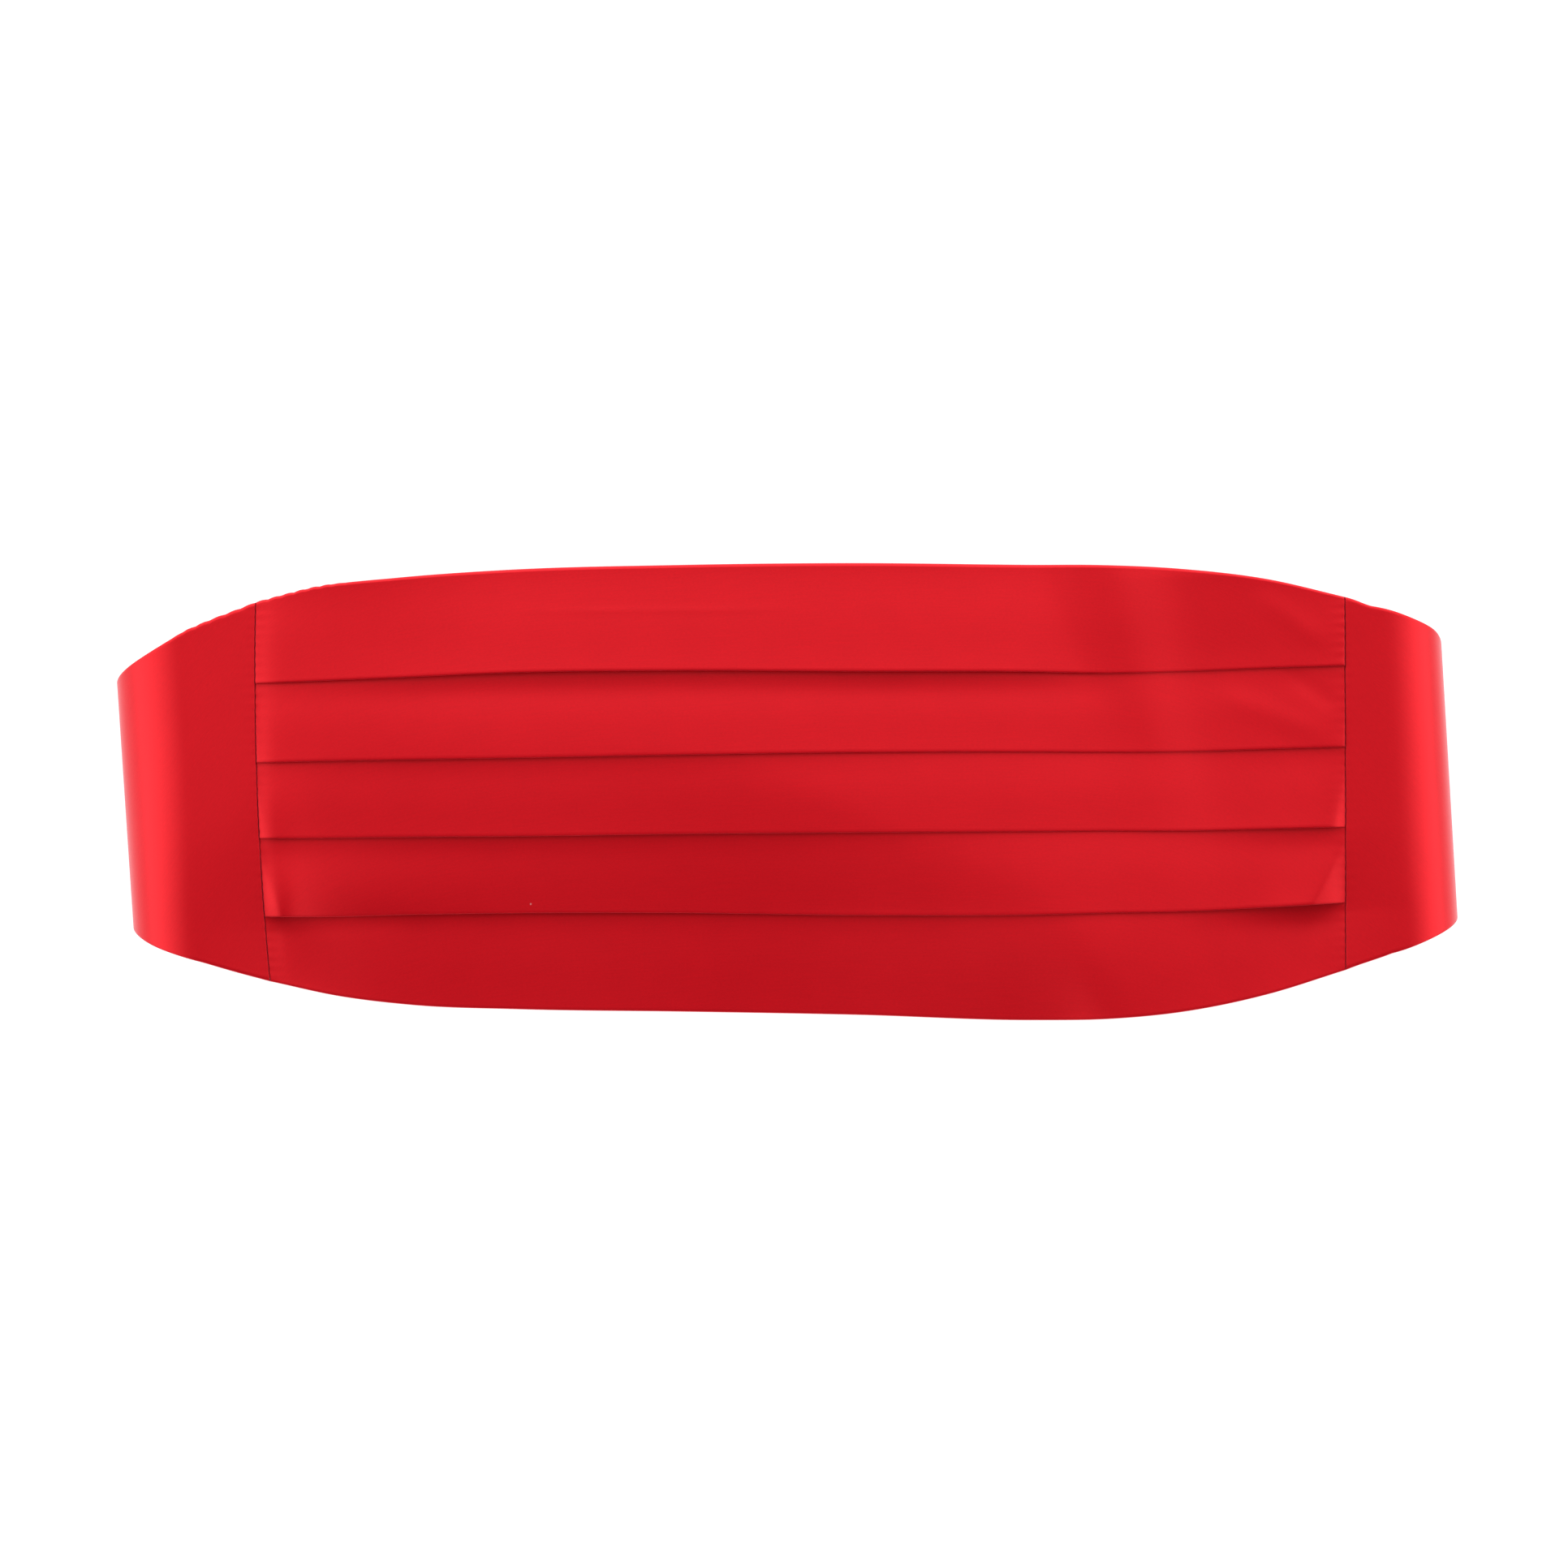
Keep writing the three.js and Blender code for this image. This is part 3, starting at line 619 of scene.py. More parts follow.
# %% Make the pleated front
heights, outs, puffs = front_section(front_share, front_along)
grooved = column(groove(np.minimum(front_along - front_start, front_end - front_along)))
pleated_satin = skin_object("pleated_satin", front_along, heights,
                            outs * puffed(front_along, heights, puffs) * grooved - PANEL_WALL / 2)

# %% [markdown]
# An end panel is plain cloth, turned in at both edges. It starts at the seam as tall as the
# front ends there and narrows round the bend, where the photo shows only its bright folded
# side. Behind, it ends at the strap.

# %% Make the end panels
PANEL_FINE_STEP = 0.7 * MM
PANEL_STEP = 1.1 * MM
PANEL_FINE_REACH = 10 * MM
PANEL_FACE_STEPS = 120


def end_panel(name, end):
    seam = seam_distance(end)
    start = seam + SEAM_GAP / 2
    finish = seam + PANEL_LENGTH
    fine_start = start + SEAM_STEPS[-1] + PANEL_FINE_STEP
    fine_end = start + PANEL_FINE_REACH
    distance = np.concatenate([start + SEAM_STEPS,
                               np.arange(fine_start, fine_end, PANEL_FINE_STEP),
                               np.arange(fine_end, finish - PANEL_STEP / 2, PANEL_STEP),
                               [finish]])
    along = distance * end["side"]
    if end["side"] < 0:
        distance = distance[::-1]
        along = along[::-1]
    share = (distance - start) / (finish - start)
    seam_row = 0 if end["side"] < 0 else -1
    half_strap = STRAP_HEIGHT / 2
    top = mix(half_strap, FRONT_HEIGHT * FRONT_ROWS["top"][seam_row],
              read_rows(end["rows"], "top", share))
    top = top + scallops(along) - EDGE_ROUND
    bottom = mix(-half_strap, FRONT_HEIGHT * FRONT_ROWS["bottom"][seam_row],
                 read_rows(end["rows"], "bottom", share)) + EDGE_ROUND
    inner = np.full_like(share, -PANEL_WALL / 2)
    outer = -inner
    parts = [(stretch(bottom, top, BACK_STEPS), stretch(inner, inner, BACK_STEPS)),
             (column(top), column(inner)),
             round_edge(top, inner, outer, EDGE_ROUND, FOLD_STEPS, 1),
             (stretch(top, bottom, PANEL_FACE_STEPS), stretch(outer, outer, PANEL_FACE_STEPS)),
             (column(bottom), column(outer)),
             round_edge(bottom, outer, inner, EDGE_ROUND, FOLD_STEPS, -1)]
    heights = np.concatenate([part[0] for part in parts], axis=1)
    outs = np.concatenate([part[1] for part in parts], axis=1)
    grooved = column(groove(distance - start))
    outs = (outs + PANEL_WALL / 2) * grooved - PANEL_WALL / 2
    return skin_object(name, along, heights, outs)


left_end_satin = end_panel("left_end_satin", LEFT)
right_end_satin = end_panel("right_end_satin", RIGHT)

# %% [markdown]
# Effects that several finishes share are node groups. The weave group turns the cloth's own
# coordinates into three things: a shade, for slubs, grain and a soft mottle, a height for the
# fine threads, and a mask of tiny pale specks of lint. Each noise is stretched by its own
# counts for a metre, along the cloth and across it.

# %% A node group for woven cloth
def new_group(name, inputs, outputs):
    group = bpy.data.node_groups.new(name, "ShaderNodeTree")
    for label, kind, value in inputs:
        socket = group.interface.new_socket(label, in_out="INPUT", socket_type=kind)
        if value is not None:
            socket.default_value = value
    for label, kind in outputs:
        group.interface.new_socket(label, in_out="OUTPUT", socket_type=kind)
    return group


def add_node(tree, kind, settings=None, **inputs):
    node = tree.nodes.new(kind)
    for key, value in (settings or {}).items():
        setattr(node, key, value)
    for key, value in inputs.items():
        socket = node.inputs[int(key[1:])] if key[0] == "i" and key[1:].isdigit() else node.inputs[key]
        if isinstance(value, bpy.types.NodeSocket):
            tree.links.new(value, socket)
        else:
            socket.default_value = value
    return node


def math_node(tree, operation, first, second=0.0):
    return add_node(tree, "ShaderNodeMath", {"operation": operation}, i0=first, i1=second).outputs[0]


def scaled(tree, vector, scale):
    node = add_node(tree, "ShaderNodeMapping", {"vector_type": "POINT"}, Vector=vector)
    node.inputs["Scale"].default_value = scale
    return node.outputs[0]


SLUB_COUNTS = (90, 2200, 1)
GRAIN_COUNTS = (1300, 2300, 1)
MOTTLE_COUNTS = (90, 90, 1)
THREAD_COUNTS = (700, 4200, 1)
SPECK_COUNTS = (70, 70, 1)
SPECK_RARITY = 0.88
SPECK_SIZE = 0.02
SLUB_RISE = 0.6


def shade_from(tree, noise, strength):
    return math_node(tree, "MULTIPLY", math_node(tree, "SUBTRACT", noise, 0.5), strength)


def weave_group():
    group = new_group(
        "Woven cloth",
        [("Cloth", "NodeSocketVector", None), ("Slub Strength", "NodeSocketFloat", 0.06),
         ("Mottle Strength", "NodeSocketFloat", 0.05), ("Grain Strength", "NodeSocketFloat", 0.1),
         ("Thread Strength", "NodeSocketFloat", 0.5),
         ("Speck Amount", "NodeSocketFloat", 0.5)],
        [("Shade", "NodeSocketFloat"), ("Height", "NodeSocketFloat"), ("Specks", "NodeSocketFloat")])
    given = group.nodes.new("NodeGroupInput").outputs
    cloth = given["Cloth"]
    slub = add_node(group, "ShaderNodeTexNoise", Vector=scaled(group, cloth, SLUB_COUNTS),
                    Scale=1.0, Detail=3.0, Roughness=0.65).outputs[0]
    mottle = add_node(group, "ShaderNodeTexNoise", Vector=scaled(group, cloth, MOTTLE_COUNTS),
                      Scale=1.0, Detail=2.0).outputs[0]
    threads = add_node(group, "ShaderNodeTexNoise", Vector=scaled(group, cloth, THREAD_COUNTS),
                       Scale=1.0, Detail=2.0).outputs[0]
    grain = add_node(group, "ShaderNodeTexNoise", Vector=scaled(group, cloth, GRAIN_COUNTS),
                     Scale=1.0, Detail=1.0).outputs[0]
    slub_shade = shade_from(group, slub, given["Slub Strength"])
    grain_shade = shade_from(group, grain, given["Grain Strength"])
    mottle_shade = shade_from(group, mottle, given["Mottle Strength"])
    shade = math_node(group, "ADD", math_node(group, "ADD", slub_shade, mottle_shade),
                      math_node(group, "ADD", grain_shade, 1.0))
    height = math_node(group, "ADD", math_node(group, "MULTIPLY", threads, given["Thread Strength"]),
                       math_node(group, "MULTIPLY", slub, SLUB_RISE))
    cells = add_node(group, "ShaderNodeTexVoronoi", Vector=scaled(group, cloth, SPECK_COUNTS), Scale=1.0)
    draw = add_node(group, "ShaderNodeSeparateColor", Color=cells.outputs["Color"]).outputs[0]
    rare = math_node(group, "GREATER_THAN", draw, SPECK_RARITY)
    small = math_node(group, "LESS_THAN", cells.outputs["Distance"], SPECK_SIZE)
    specks = math_node(group, "MULTIPLY", rare, small)
    specks = math_node(group, "MULTIPLY", specks, given["Speck Amount"])
    leaves = group.nodes.new("NodeGroupOutput").inputs
    group.links.new(shade, leaves["Shade"])
    group.links.new(height, leaves["Height"])
    group.links.new(specks, leaves["Specks"])
    return group


WEAVE = weave_group()
print("weave group:", len(WEAVE.nodes), "nodes")

# %% [markdown]
# Satin looks deep red where it faces up, because little light comes back from straight above,
# and turns to a broad pale sheen where it bends. A fairly smooth shader does this by itself
# under soft light from the sides, with a little sheen on top. The threads add a faint bump.

# %% The satin and the other finishes
def new_material(name):
    material = bpy.data.materials.new(name)
    material.use_nodes = True
    material.node_tree.nodes.clear()
    return material


SPECULAR_LEVEL = 0.3
SHEEN_TINT = (1, 0.17, 0.26, 1)
SHEEN_ROUGHNESS = 0.4
LINT_COLOUR = (0.8, 0.45, 0.45, 1)
THREAD_RISE = 0.1 * MM


def woven_material(name, colour, roughness, gloss, weave, sheen, bump, on_object=False):
    material = new_material(name)
    tree = material.node_tree
    if on_object:
        cloth = add_node(tree, "ShaderNodeTexCoord").outputs["Object"]
    else:
        cloth = add_node(tree, "ShaderNodeUVMap", {"uv_map": "cloth"}).outputs[0]
    woven = tree.nodes.new("ShaderNodeGroup")
    woven.node_tree = WEAVE
    tree.links.new(cloth, woven.inputs["Cloth"])
    for key, value in weave.items():
        woven.inputs[key].default_value = value
    shaded = add_node(tree, "ShaderNodeVectorMath", {"operation": "SCALE"}, i0=colour,
                      Scale=woven.outputs["Shade"])
    speckled = add_node(tree, "ShaderNodeMix", {"data_type": "RGBA"}, Factor=woven.outputs["Specks"],
                        i6=shaded.outputs[0], i7=LINT_COLOUR)
    raised = add_node(tree, "ShaderNodeBump", Strength=bump, Distance=THREAD_RISE,
                      Height=woven.outputs["Height"])
    body = add_node(tree, "ShaderNodeBsdfPrincipled", Roughness=roughness)
    tree.links.new(speckled.outputs[2], body.inputs["Base Color"])
    tree.links.new(raised.outputs[0], body.inputs["Normal"])
    body.inputs["Metallic"].default_value = gloss
    body.inputs["Specular IOR Level"].default_value = SPECULAR_LEVEL
    body.inputs["Sheen Weight"].default_value = sheen
    body.inputs["Sheen Roughness"].default_value = SHEEN_ROUGHNESS
    body.inputs["Sheen Tint"].default_value = SHEEN_TINT
    end = tree.nodes.new("ShaderNodeOutputMaterial")
    tree.links.new(body.outputs[0], end.inputs["Surface"])
    return material


SATIN_RED = (0.7, 0.0061, 0.0136)
satin = woven_material("satin", SATIN_RED, 0.3, 0.4,
                       {"Slub Strength": 0.14, "Mottle Strength": 0.06, "Grain Strength": 0.16,
                        "Thread Strength": 0.5, "Speck Amount": 0.5}, sheen=0.4, bump=0.12)
for piece in (pleated_satin, left_end_satin, right_end_satin):
    piece.data.materials.append(satin)
print("satin on three pieces")

# %% [markdown]
# The elastic behind is woven of rubber cores that run side by side, so it shows fine ribs. Each
# half runs from an end panel to the clasp, turns round the clasp's outer bar and is sewn down
# on itself. Ribs follow a path, so a Geometry Nodes tree sweeps a row of small ovals along it.

# %% Helpers for a tree's two ends
def path_tree(name, inputs):
    tree = bpy.data.node_groups.new(name, "GeometryNodeTree")
    tree.interface.new_socket("Geometry", in_out="INPUT", socket_type="NodeSocketGeometry")
    for label, kind, value in inputs:
        socket = tree.interface.new_socket(label, in_out="INPUT", socket_type=kind)
        if value is not None:
            socket.default_value = value
    tree.interface.new_socket("Geometry", in_out="OUTPUT", socket_type="NodeSocketGeometry")
    given = tree.nodes.new("NodeGroupInput").outputs
    path = add_node(tree, "GeometryNodeMeshToCurve", Mesh=given["Geometry"]).outputs[0]
    return tree, given, path


def finish_tree(tree, grown, material):
    whole = add_node(tree, "GeometryNodeRealizeInstances", Geometry=grown).outputs[0]
    painted = add_node(tree, "GeometryNodeSetMaterial", Geometry=whole, Material=material)
    leave = tree.nodes.new("NodeGroupOutput")
    tree.links.new(painted.outputs[0], leave.inputs[0])


# %% Run a tree along lines
def grow(name, lines, tree, values):
    """Run a tree on one or more lines of points, and keep what it makes as a plain mesh."""
    mesh = bpy.data.meshes.new(name + "_path")
    points = np.concatenate(lines)
    edges = []
    first = 0
    for line in lines:
        edges += [(first + step, first + step + 1) for step in range(len(line) - 1)]
        first += len(line)
    mesh.from_pydata(points.tolist(), edges, [])
    holder = bpy.data.objects.new(name + "_path", mesh)
    scene.collection.objects.link(holder)
    modifier = holder.modifiers.new("grow", "NODES")
    modifier.node_group = tree
    for socket in tree.interface.items_tree:
        if socket.in_out == "INPUT" and socket.name in values:
            modifier[socket.identifier] = values[socket.name]
    evaluated = holder.evaluated_get(bpy.context.evaluated_depsgraph_get())
    grown = bpy.data.meshes.new_from_object(evaluated)
    bpy.data.objects.remove(holder)
    bpy.data.meshes.remove(mesh)
    grown.name = name
    grown.materials.clear()
    grown.materials.append(values["Material"])
    grown.polygons.foreach_set("material_index", [0] * len(grown.polygons))
    piece = bpy.data.objects.new(name, grown)
    scene.collection.objects.link(piece)
    print(f"{name}: {len(grown.polygons)} faces")
    return piece


# %% The ribbed elastic's tree
RIB_COUNT = 20
RIB_HALF_WIDTH = 1.05 * MM
RIB_PITCH = (STRAP_HEIGHT - 2 * RIB_HALF_WIDTH) / (RIB_COUNT - 1)


def elastic_tree():
    tree, given, path = path_tree("Ribbed elastic", [
        ("Rib Count", "NodeSocketInt", 20), ("Rib Pitch", "NodeSocketFloat", 0.002),
        ("Rib Half Width", "NodeSocketFloat", 0.001), ("Wall", "NodeSocketFloat", 0.001),
        ("Material", "NodeSocketMaterial", None)])
    circle = add_node(tree, "GeometryNodeCurvePrimitiveCircle", Resolution=8, Radius=1.0).outputs[0]
    oval_size = add_node(tree, "ShaderNodeCombineXYZ", X=given["Rib Half Width"],
                         Y=math_node(tree, "MULTIPLY", given["Wall"], 0.5), Z=1.0).outputs[0]
    oval = add_node(tree, "GeometryNodeTransform", Geometry=circle, Scale=oval_size).outputs[0]
    gaps = math_node(tree, "SUBTRACT", given["Rib Count"], 1.0)
    first_rib = math_node(tree, "MULTIPLY", math_node(tree, "MULTIPLY", gaps, given["Rib Pitch"]), -0.5)
    start = add_node(tree, "ShaderNodeCombineXYZ", X=first_rib).outputs[0]
    offset = add_node(tree, "ShaderNodeCombineXYZ", X=given["Rib Pitch"]).outputs[0]
    row = tree.nodes.new("GeometryNodeMeshLine")
    tree.links.new(given["Rib Count"], row.inputs["Count"])
    tree.links.new(start, row.inputs["Start Location"])
    tree.links.new(offset, row.inputs["Offset"])
    ovals = add_node(tree, "GeometryNodeInstanceOnPoints", Points=row.outputs[0],
                     Instance=oval).outputs[0]
    profile = add_node(tree, "GeometryNodeRealizeInstances", Geometry=ovals).outputs[0]
    swept = tree.nodes.new("GeometryNodeCurveToMesh")
    tree.links.new(path, swept.inputs["Curve"])
    tree.links.new(profile, swept.inputs["Profile Curve"])
    swept.inputs["Fill Caps"].default_value = True
    finish_tree(tree, swept.outputs[0], given["Material"])
    return tree


ELASTIC_TREE = elastic_tree()
print(f"{RIB_COUNT} ribs at {RIB_PITCH / MM:.2f} mm")

# %% [markdown]
# The strap's path is seen from the side. It starts tucked into the end panel's fold, runs flat
# on the table, turns half round the clasp's bar, goes back over itself, and down a short ramp
# to where it is sewn.

# %% Make the two straps
STRAP_LEVEL = STRAP_WALL / 2
STRAP_TUCK = 1.0 * MM
TURN_PLACE = 13.8 * MM
TURN_RADIUS = 1.75 * MM
BACK_PLACE = 17.8 * MM
RAMP_END = 23.8 * MM
SEWN_END = 41.5 * MM
SEWN_LEVEL = 1.5 * STRAP_WALL + 0.02 * MM
RUN_POINTS = 40
TURN_POINTS = 13
RAMP_POINTS = 9
STRAP_STARTS = {"left": (-1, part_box("left_strap")[0].x), "right": (1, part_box("right_strap")[1].x)}


def strap_path(side, panel_end):
    start = abs(panel_end - MIDDLE_X) + STRAP_TUCK
    points = [(out, STRAP_LEVEL) for out in np.linspace(start, TURN_PLACE, RUN_POINTS)]
    turn_level = STRAP_LEVEL + TURN_RADIUS
    for angle in np.linspace(0, math.pi, TURN_POINTS)[1:]:
        out = TURN_PLACE - TURN_RADIUS * math.sin(angle)
        points.append((out, turn_level - TURN_RADIUS * math.cos(angle)))
    top_level = STRAP_LEVEL + 2 * TURN_RADIUS
    for share in np.linspace(0, 1, RAMP_POINTS):
        eased = smooth_step(0, 1, share)
        points.append((mix(BACK_PLACE, RAMP_END, share), mix(top_level, SEWN_LEVEL, eased)))
    points += [(out, SEWN_LEVEL) for out in np.linspace(RAMP_END, SEWN_END, RAMP_POINTS - 1)[1:]]
    middle_y = (strap_low.y + strap_high.y) / 2
    return np.array([(MIDDLE_X + side * out, middle_y, level) for out, level in points])


ELASTIC_RED = (0.36, 0.006, 0.011)
elastic = woven_material("elastic", ELASTIC_RED, 0.75, 0.0,
                         {"Slub Strength": 0.25, "Mottle Strength": 0.1, "Thread Strength": 1.0,
                          "Speck Amount": 0.0}, sheen=0.3, bump=0.35, on_object=True)
strap_values = {"Rib Count": RIB_COUNT, "Rib Pitch": RIB_PITCH, "Rib Half Width": RIB_HALF_WIDTH,
                "Wall": STRAP_WALL, "Material": elastic}
ribbed_straps = {}
for label, (side, panel_end) in STRAP_STARTS.items():
    path = strap_path(side, panel_end)
    ribbed_straps[label] = grow(f"{label}_elastic", [path], ELASTIC_TREE, strap_values)

# %% [markdown]
# The clasp is one plain flat plate with a slot for each strap. It is drawn as a flat curve, an
# outline with two holes, because a curve's own extrusion and bevel round every edge evenly.

# %% Make the clasp
CLASP_WIDTH = clasp_high.x - clasp_low.x
CLASP_HEIGHT = clasp_high.y - clasp_low.y
CLASP_WALL = clasp_high.z - clasp_low.z
CLASP_CORNER = 2.5 * MM
SLOT_PLACE = 11.25 * MM
SLOT_WIDTH = 4.5 * MM
SLOT_HEIGHT = 39 * MM
SLOT_CORNER = 0.9 * MM
CLASP_BEVEL = 0.4 * MM


def rounded_outline(curve, middle_x, width, height, corner, inset):
    """Add a rounded rectangle; inset is how far the bevel will later push the outline out."""
    points = []
    for quarter in range(4):
        angles = np.linspace(quarter * math.pi / 2, (quarter + 1) * math.pi / 2, 7)
        centre_x = (width / 2 - corner) * (1 if quarter in (0, 3) else -1)
        centre_y = (height / 2 - corner) * (1 if quarter in (0, 1) else -1)
        for angle in angles:
            points.append((middle_x + centre_x + (corner - inset) * math.cos(angle),
                           centre_y + (corner - inset) * math.sin(angle), 0, 1))
    spline = curve.splines.new("POLY")
    spline.points.add(len(points) - 1)
    spline.points.foreach_set("co", np.array(points).ravel())
    spline.use_cyclic_u = True


outline = bpy.data.curves.new("clasp_outline", "CURVE")
outline.dimensions = "2D"
outline.fill_mode = "BOTH"
outline.extrude = CLASP_WALL / 2 - CLASP_BEVEL
outline.bevel_depth = CLASP_BEVEL
outline.bevel_resolution = 3
rounded_outline(outline, 0, CLASP_WIDTH, CLASP_HEIGHT, CLASP_CORNER, CLASP_BEVEL)
for slot_side in (-1, 1):
    rounded_outline(outline, slot_side * SLOT_PLACE, SLOT_WIDTH, SLOT_HEIGHT, SLOT_CORNER, -CLASP_BEVEL)
clasp_holder = bpy.data.objects.new("clasp_outline", outline)
scene.collection.objects.link(clasp_holder)
graph = bpy.context.evaluated_depsgraph_get()
clasp_mesh = bpy.data.meshes.new_from_object(clasp_holder.evaluated_get(graph))
bpy.data.objects.remove(clasp_holder)
clasp_mesh.name = "clasp_plate"
clasp_middle = (clasp_low + clasp_high) / 2
for vertex in clasp_mesh.vertices:
    vertex.co += clasp_middle
clasp_plate = bpy.data.objects.new("clasp_plate", clasp_mesh)
scene.collection.objects.link(clasp_plate)
print("clasp faces:", len(clasp_mesh.polygons))

# %% [markdown]
# The clasp's metal is brushed along the waist. A noise that is stretched that way gives fine
# lines, which change how rough it is and raise it a hair. A second, broad noise dulls it in
# patches, as handling does.

# %% The clasp's metal
METAL_GREY = (0.48, 0.49, 0.52, 1)
WORN_GREY = (0.36, 0.365, 0.38, 1)


def brushed_metal(name):
    material = new_material(name)
    tree = material.node_tree
    place_on = add_node(tree, "ShaderNodeTexCoord").outputs["Object"]
    lines = add_node(tree, "ShaderNodeTexNoise", Vector=scaled(tree, place_on, (150, 9000, 9000)),
                     Scale=1.0, Detail=3.0).outputs[0]
    patches = add_node(tree, "ShaderNodeTexNoise", Vector=scaled(tree, place_on, (140, 140, 140)),
                       Scale=1.0, Detail=3.0).outputs[0]
    worn = add_node(tree, "ShaderNodeMapRange", Value=patches)
    worn.inputs["From Min"].default_value = 0.45
    worn.inputs["From Max"].default_value = 0.7
    colour = add_node(tree, "ShaderNodeMix", {"data_type": "RGBA"}, Factor=worn.outputs[0],
                      i6=METAL_GREY, i7=WORN_GREY)
    roughness = math_node(tree, "ADD", math_node(tree, "MULTIPLY", lines, 0.16),
                          math_node(tree, "MULTIPLY_ADD", worn.outputs[0], 0.1))
    roughness = math_node(tree, "ADD", roughness, 0.2)
    raised = add_node(tree, "ShaderNodeBump", Strength=0.12, Distance=0.0001, Height=lines)
    body = add_node(tree, "ShaderNodeBsdfPrincipled", Metallic=1.0)
    tree.links.new(colour.outputs[2], body.inputs["Base Color"])
    tree.links.new(roughness, body.inputs["Roughness"])
    tree.links.new(raised.outputs[0], body.inputs["Normal"])
    end = tree.nodes.new("ShaderNodeOutputMaterial")
    tree.links.new(body.outputs[0], end.inputs["Surface"])
    return material


clasp_mesh.materials.clear()
clasp_mesh.materials.append(brushed_metal("clasp_metal"))
print("clasp finish:", clasp_mesh.materials[0].name)

# %% [markdown]
# The seams and the ends of the straps are sewn. A stitch is one small stretched ball, with
# only a few dozen faces, set at even steps along a sewing line. The same tree makes all of
# them from the pitch, the length and the thickness of a stitch.

# %% The stitches' tree
def stitch_tree():
    tree, given, path = path_tree("Row of stitches", [
        ("Pitch", "NodeSocketFloat", 0.003), ("Stitch Length", "NodeSocketFloat", 0.002),
        ("Thread", "NodeSocketFloat", 0.0003), ("Material", "NodeSocketMaterial", None)])
    steps = add_node(tree, "GeometryNodeCurveToPoints", {"mode": "LENGTH"},
                     Curve=path, Length=given["Pitch"])
    ball = add_node(tree, "GeometryNodeMeshUVSphere", Segments=8, Rings=5, Radius=0.5).outputs[0]
    smooth = add_node(tree, "GeometryNodeSetShadeSmooth", Geometry=ball).outputs[0]
    size = add_node(tree, "ShaderNodeCombineXYZ", X=given["Thread"], Y=given["Thread"],
                    Z=given["Stitch Length"]).outputs[0]
    stitches = add_node(tree, "GeometryNodeInstanceOnPoints", Points=steps.outputs["Points"],
                        Instance=smooth, Rotation=steps.outputs["Rotation"], Scale=size).outputs[0]
    finish_tree(tree, stitches, given["Material"])
    return tree


STITCH_TREE = stitch_tree()
print("stitch tree:", len(STITCH_TREE.nodes), "nodes")

# %% [markdown]
# At each side seam the stitches lie deep in the groove, where they only show as a faint
# broken line. Behind, two rows hold each strap to its end panel, and two more hold the end
# that is turned back from the clasp. The rows across a strap are straight lines of two points.

# %% Sew the seams and the straps
SEAM_THREAD_LEVEL = 0.12 * MM
THREAD_LIFT = 0.06 * MM
THREAD_RED = (0.5, 0.004, 0.009)
SEWING_MARGIN = 1.5 * MM
SEWING_POINTS = 90
PANEL_ROWS = (1.6 * MM, 4.2 * MM)
TURNED_ROWS = (RAMP_END + 2 * MM, SEWN_END - 2.5 * MM)

seam_lines = []
for end, seam_row in ((LEFT, 0), (RIGHT, -1)):
    low = FRONT_HEIGHT * FRONT_ROWS["bottom"][seam_row] + SEWING_MARGIN
    high = FRONT_HEIGHT * FRONT_ROWS["top"][seam_row] - SEWING_MARGIN
    seam_heights = np.linspace(low, high, SEWING_POINTS)
    seam_along = np.full(SEWING_POINTS, end["side"] * seam_distance(end))
    seam_lines.append(place(seam_along, seam_heights, np.full(SEWING_POINTS, SEAM_THREAD_LEVEL)))
thread = woven_material("thread", THREAD_RED, 0.6, 0.2,
                        {"Slub Strength": 0.3, "Mottle Strength": 0.1, "Thread Strength": 1.0,
                         "Speck Amount": 0.0}, sheen=0.0, bump=0.3, on_object=True)
seam_stitches = grow("seam_stitches", seam_lines, STITCH_TREE, {
    "Pitch": PUCKER_PITCH, "Stitch Length": 2.2 * MM, "Thread": 0.2 * MM, "Material": thread})


def across_strap(place_x, level):
    half_row = STRAP_HEIGHT / 2 - SEWING_MARGIN
    middle_y = (strap_low.y + strap_high.y) / 2
    return np.array([(place_x, middle_y - half_row, level), (place_x, middle_y + half_row, level)])


strap_lines = []
for side, panel_end in STRAP_STARTS.values():
    for from_end in PANEL_ROWS:
        strap_lines.append(across_strap(panel_end + side * from_end, PANEL_WALL + THREAD_LIFT))
    for out in TURNED_ROWS:
        strap_lines.append(across_strap(MIDDLE_X + side * out, 2 * STRAP_WALL + THREAD_LIFT))
strap_stitches = grow("strap_stitches", strap_lines, STITCH_TREE, {
    "Pitch": 2.4 * MM, "Stitch Length": 2.1 * MM, "Thread": 0.32 * MM, "Material": thread})
print(len(seam_lines), "seams and", len(strap_lines), "rows of strap stitches")

# %% [markdown]
# Each finished piece replaces its plain one and rides on the part's one body.

# %% Say what each piece stands for
def stands_for(piece, node):
    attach(piece, "root")
    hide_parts(node)


stands_for(pleated_satin, "pleated_front")
stands_for(left_end_satin, "left_end_panel")
stands_for(right_end_satin, "right_end_panel")
stands_for(ribbed_straps["left"], "left_strap")
stands_for(ribbed_straps["right"], "right_strap")
stands_for(clasp_plate, "clasp")
for piece, slot in ((seam_stitches, "satin"), (strap_stitches, "elastic")):
    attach(piece, "root")

# %% [markdown]
# The photo is a plain cut-out on white, taken from straight above. Its cloth is deep red where
# it lies flat and bright only on the bends at its two sides. A large pale floor, a bright
# wall of light to either side, a weaker one beyond the upper edge and one large soft light
# there give the same look.

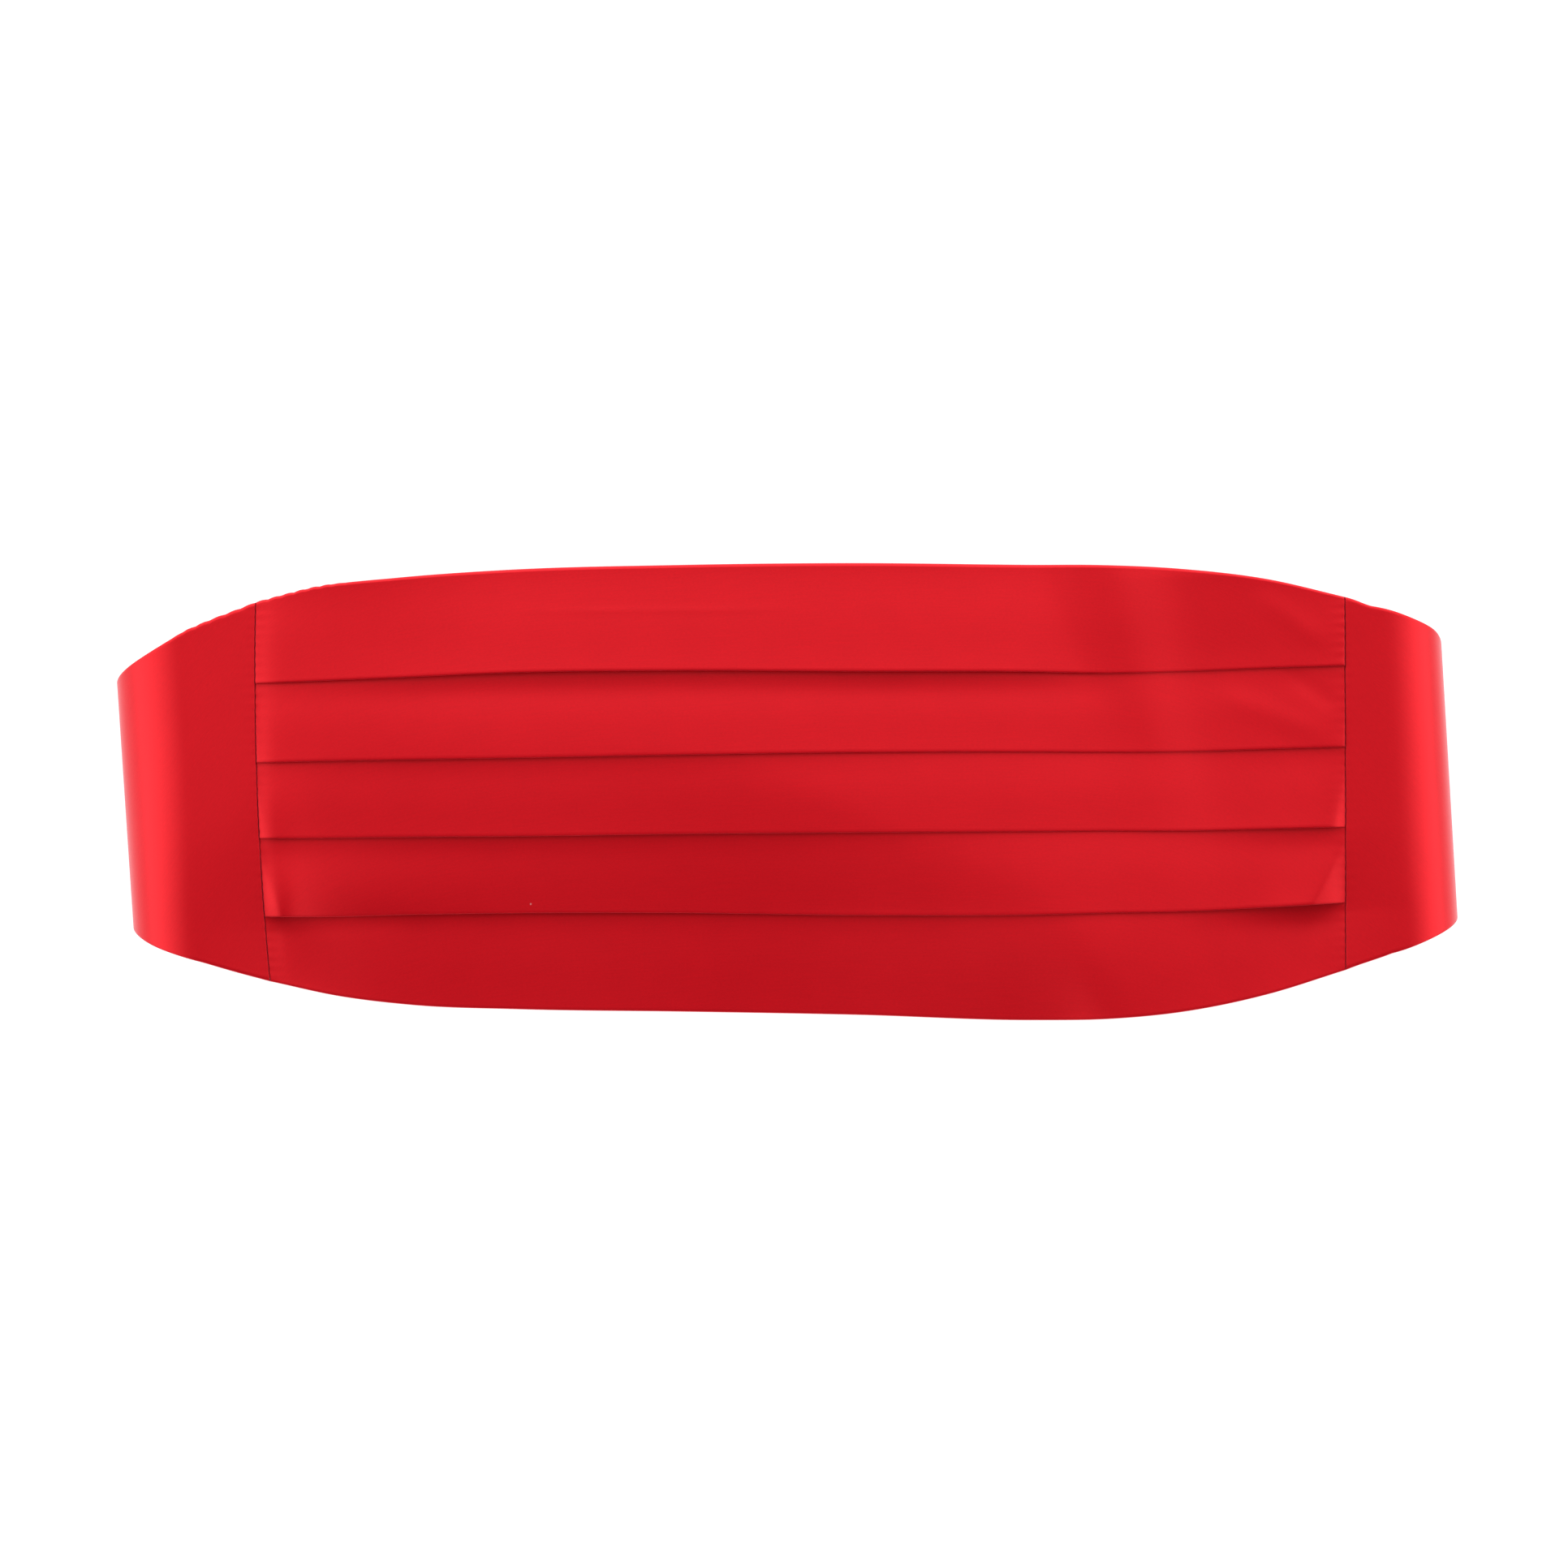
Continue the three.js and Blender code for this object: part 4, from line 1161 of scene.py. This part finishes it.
# %% The floor
FLOOR_SIZE = 6.0
FLOOR_GLOW = 0.95
FLOOR_DEPTH = 0.05 * MM
floor_mesh = bpy.data.meshes.new("floor")
half = FLOOR_SIZE / 2
floor_corners = [(-half, -half, -FLOOR_DEPTH), (half, -half, -FLOOR_DEPTH),
                 (half, half, -FLOOR_DEPTH), (-half, half, -FLOOR_DEPTH)]
floor_mesh.from_pydata(floor_corners, [], [(0, 1, 2, 3)])
floor = bpy.data.objects.new("floor", floor_mesh)
scene.collection.objects.link(floor)
floor_paint = new_material("floor_paint")
paint_tree = floor_paint.node_tree
paint = add_node(paint_tree, "ShaderNodeBsdfPrincipled", Roughness=0.9)
paint.inputs["Base Color"].default_value = (0.2, 0.2, 0.2, 1)
paint.inputs["Emission Color"].default_value = (1, 1, 1, 1)
paint.inputs["Emission Strength"].default_value = FLOOR_GLOW
paint_end = paint_tree.nodes.new("ShaderNodeOutputMaterial")
paint_tree.links.new(paint.outputs[0], paint_end.inputs["Surface"])
floor_mesh.materials.append(floor_paint)
print(f"floor {FLOOR_SIZE} m wide")

# %% The walls of light and the soft light
SIDE_BRIGHT = 2.0
SIDE_START = 0.25
SIDE_END = 0.95
TOP_BRIGHT = 0.9
TOP_START = -0.25
world = bpy.data.worlds.new("tent")
world.use_nodes = True
scene.world = world
sky = world.node_tree
sky.nodes.clear()
direction = add_node(sky, "ShaderNodeTexCoord").outputs["Generated"]
toward = add_node(sky, "ShaderNodeSeparateXYZ", Vector=direction).outputs
side_wall = add_node(sky, "ShaderNodeMapRange", Value=math_node(sky, "ABSOLUTE", toward["X"]))
side_wall.inputs["From Min"].default_value = SIDE_START
side_wall.inputs["From Max"].default_value = SIDE_END
side_wall.inputs["To Max"].default_value = SIDE_BRIGHT
top_wall = add_node(sky, "ShaderNodeMapRange", Value=toward["Y"])
top_wall.inputs["From Min"].default_value = TOP_START
top_wall.inputs["To Max"].default_value = TOP_BRIGHT
both_walls = math_node(sky, "ADD", side_wall.outputs[0], top_wall.outputs[0])
glow = add_node(sky, "ShaderNodeBackground", Strength=both_walls)
glow.inputs["Color"].default_value = (1, 1, 1, 1)
sky_end = sky.nodes.new("ShaderNodeOutputWorld")
sky.links.new(glow.outputs[0], sky_end.inputs["Surface"])

KEY_DISTANCE = 1.1
KEY_RISE = math.radians(42)
KEY_WIDTH = 1.6
KEY_DEPTH = 1.0
KEY_WATTS = 8
key_data = bpy.data.lights.new("key", "AREA")
key_data.shape = "RECTANGLE"
key_data.size = KEY_WIDTH
key_data.size_y = KEY_DEPTH
key_data.energy = KEY_WATTS
key = bpy.data.objects.new("key", key_data)
scene.collection.objects.link(key)
key.location = (0, KEY_DISTANCE * math.cos(KEY_RISE), KEY_DISTANCE * math.sin(KEY_RISE))
key.rotation_euler = (KEY_RISE - math.pi / 2, 0, 0)
print("soft light at:", tuple(key.location))

# %% [markdown]
# The photo looks straight down with a long lens, and is turned by about one degree against the
# cummerbund. The camera's height follows from the photo's scale.

# %% The camera
PHOTO_SIDE = 1932
PHOTO_SCALE = 0.2276 * MM
LENS = 250.0
SENSOR = 36.0
STRIP_TURN = math.radians(1.09)
PHOTO_PLANE = 0.017
VIEW_X = -0.74 * MM
VIEW_Y = 2.86 * MM
camera_data = bpy.data.cameras.new("camera")
camera_data.lens = LENS
camera_data.sensor_width = SENSOR
camera = bpy.data.objects.new("camera", camera_data)
scene.collection.objects.link(camera)
camera.location = (VIEW_X, VIEW_Y, PHOTO_PLANE + PHOTO_SIDE * PHOTO_SCALE * LENS / SENSOR)
camera.rotation_euler = (0, 0, -STRIP_TURN)
scene.camera = camera
scene.view_settings.view_transform = "Standard"
scene.view_settings.look = "None"
print(f"camera {camera.location.z:.2f} m above the floor")
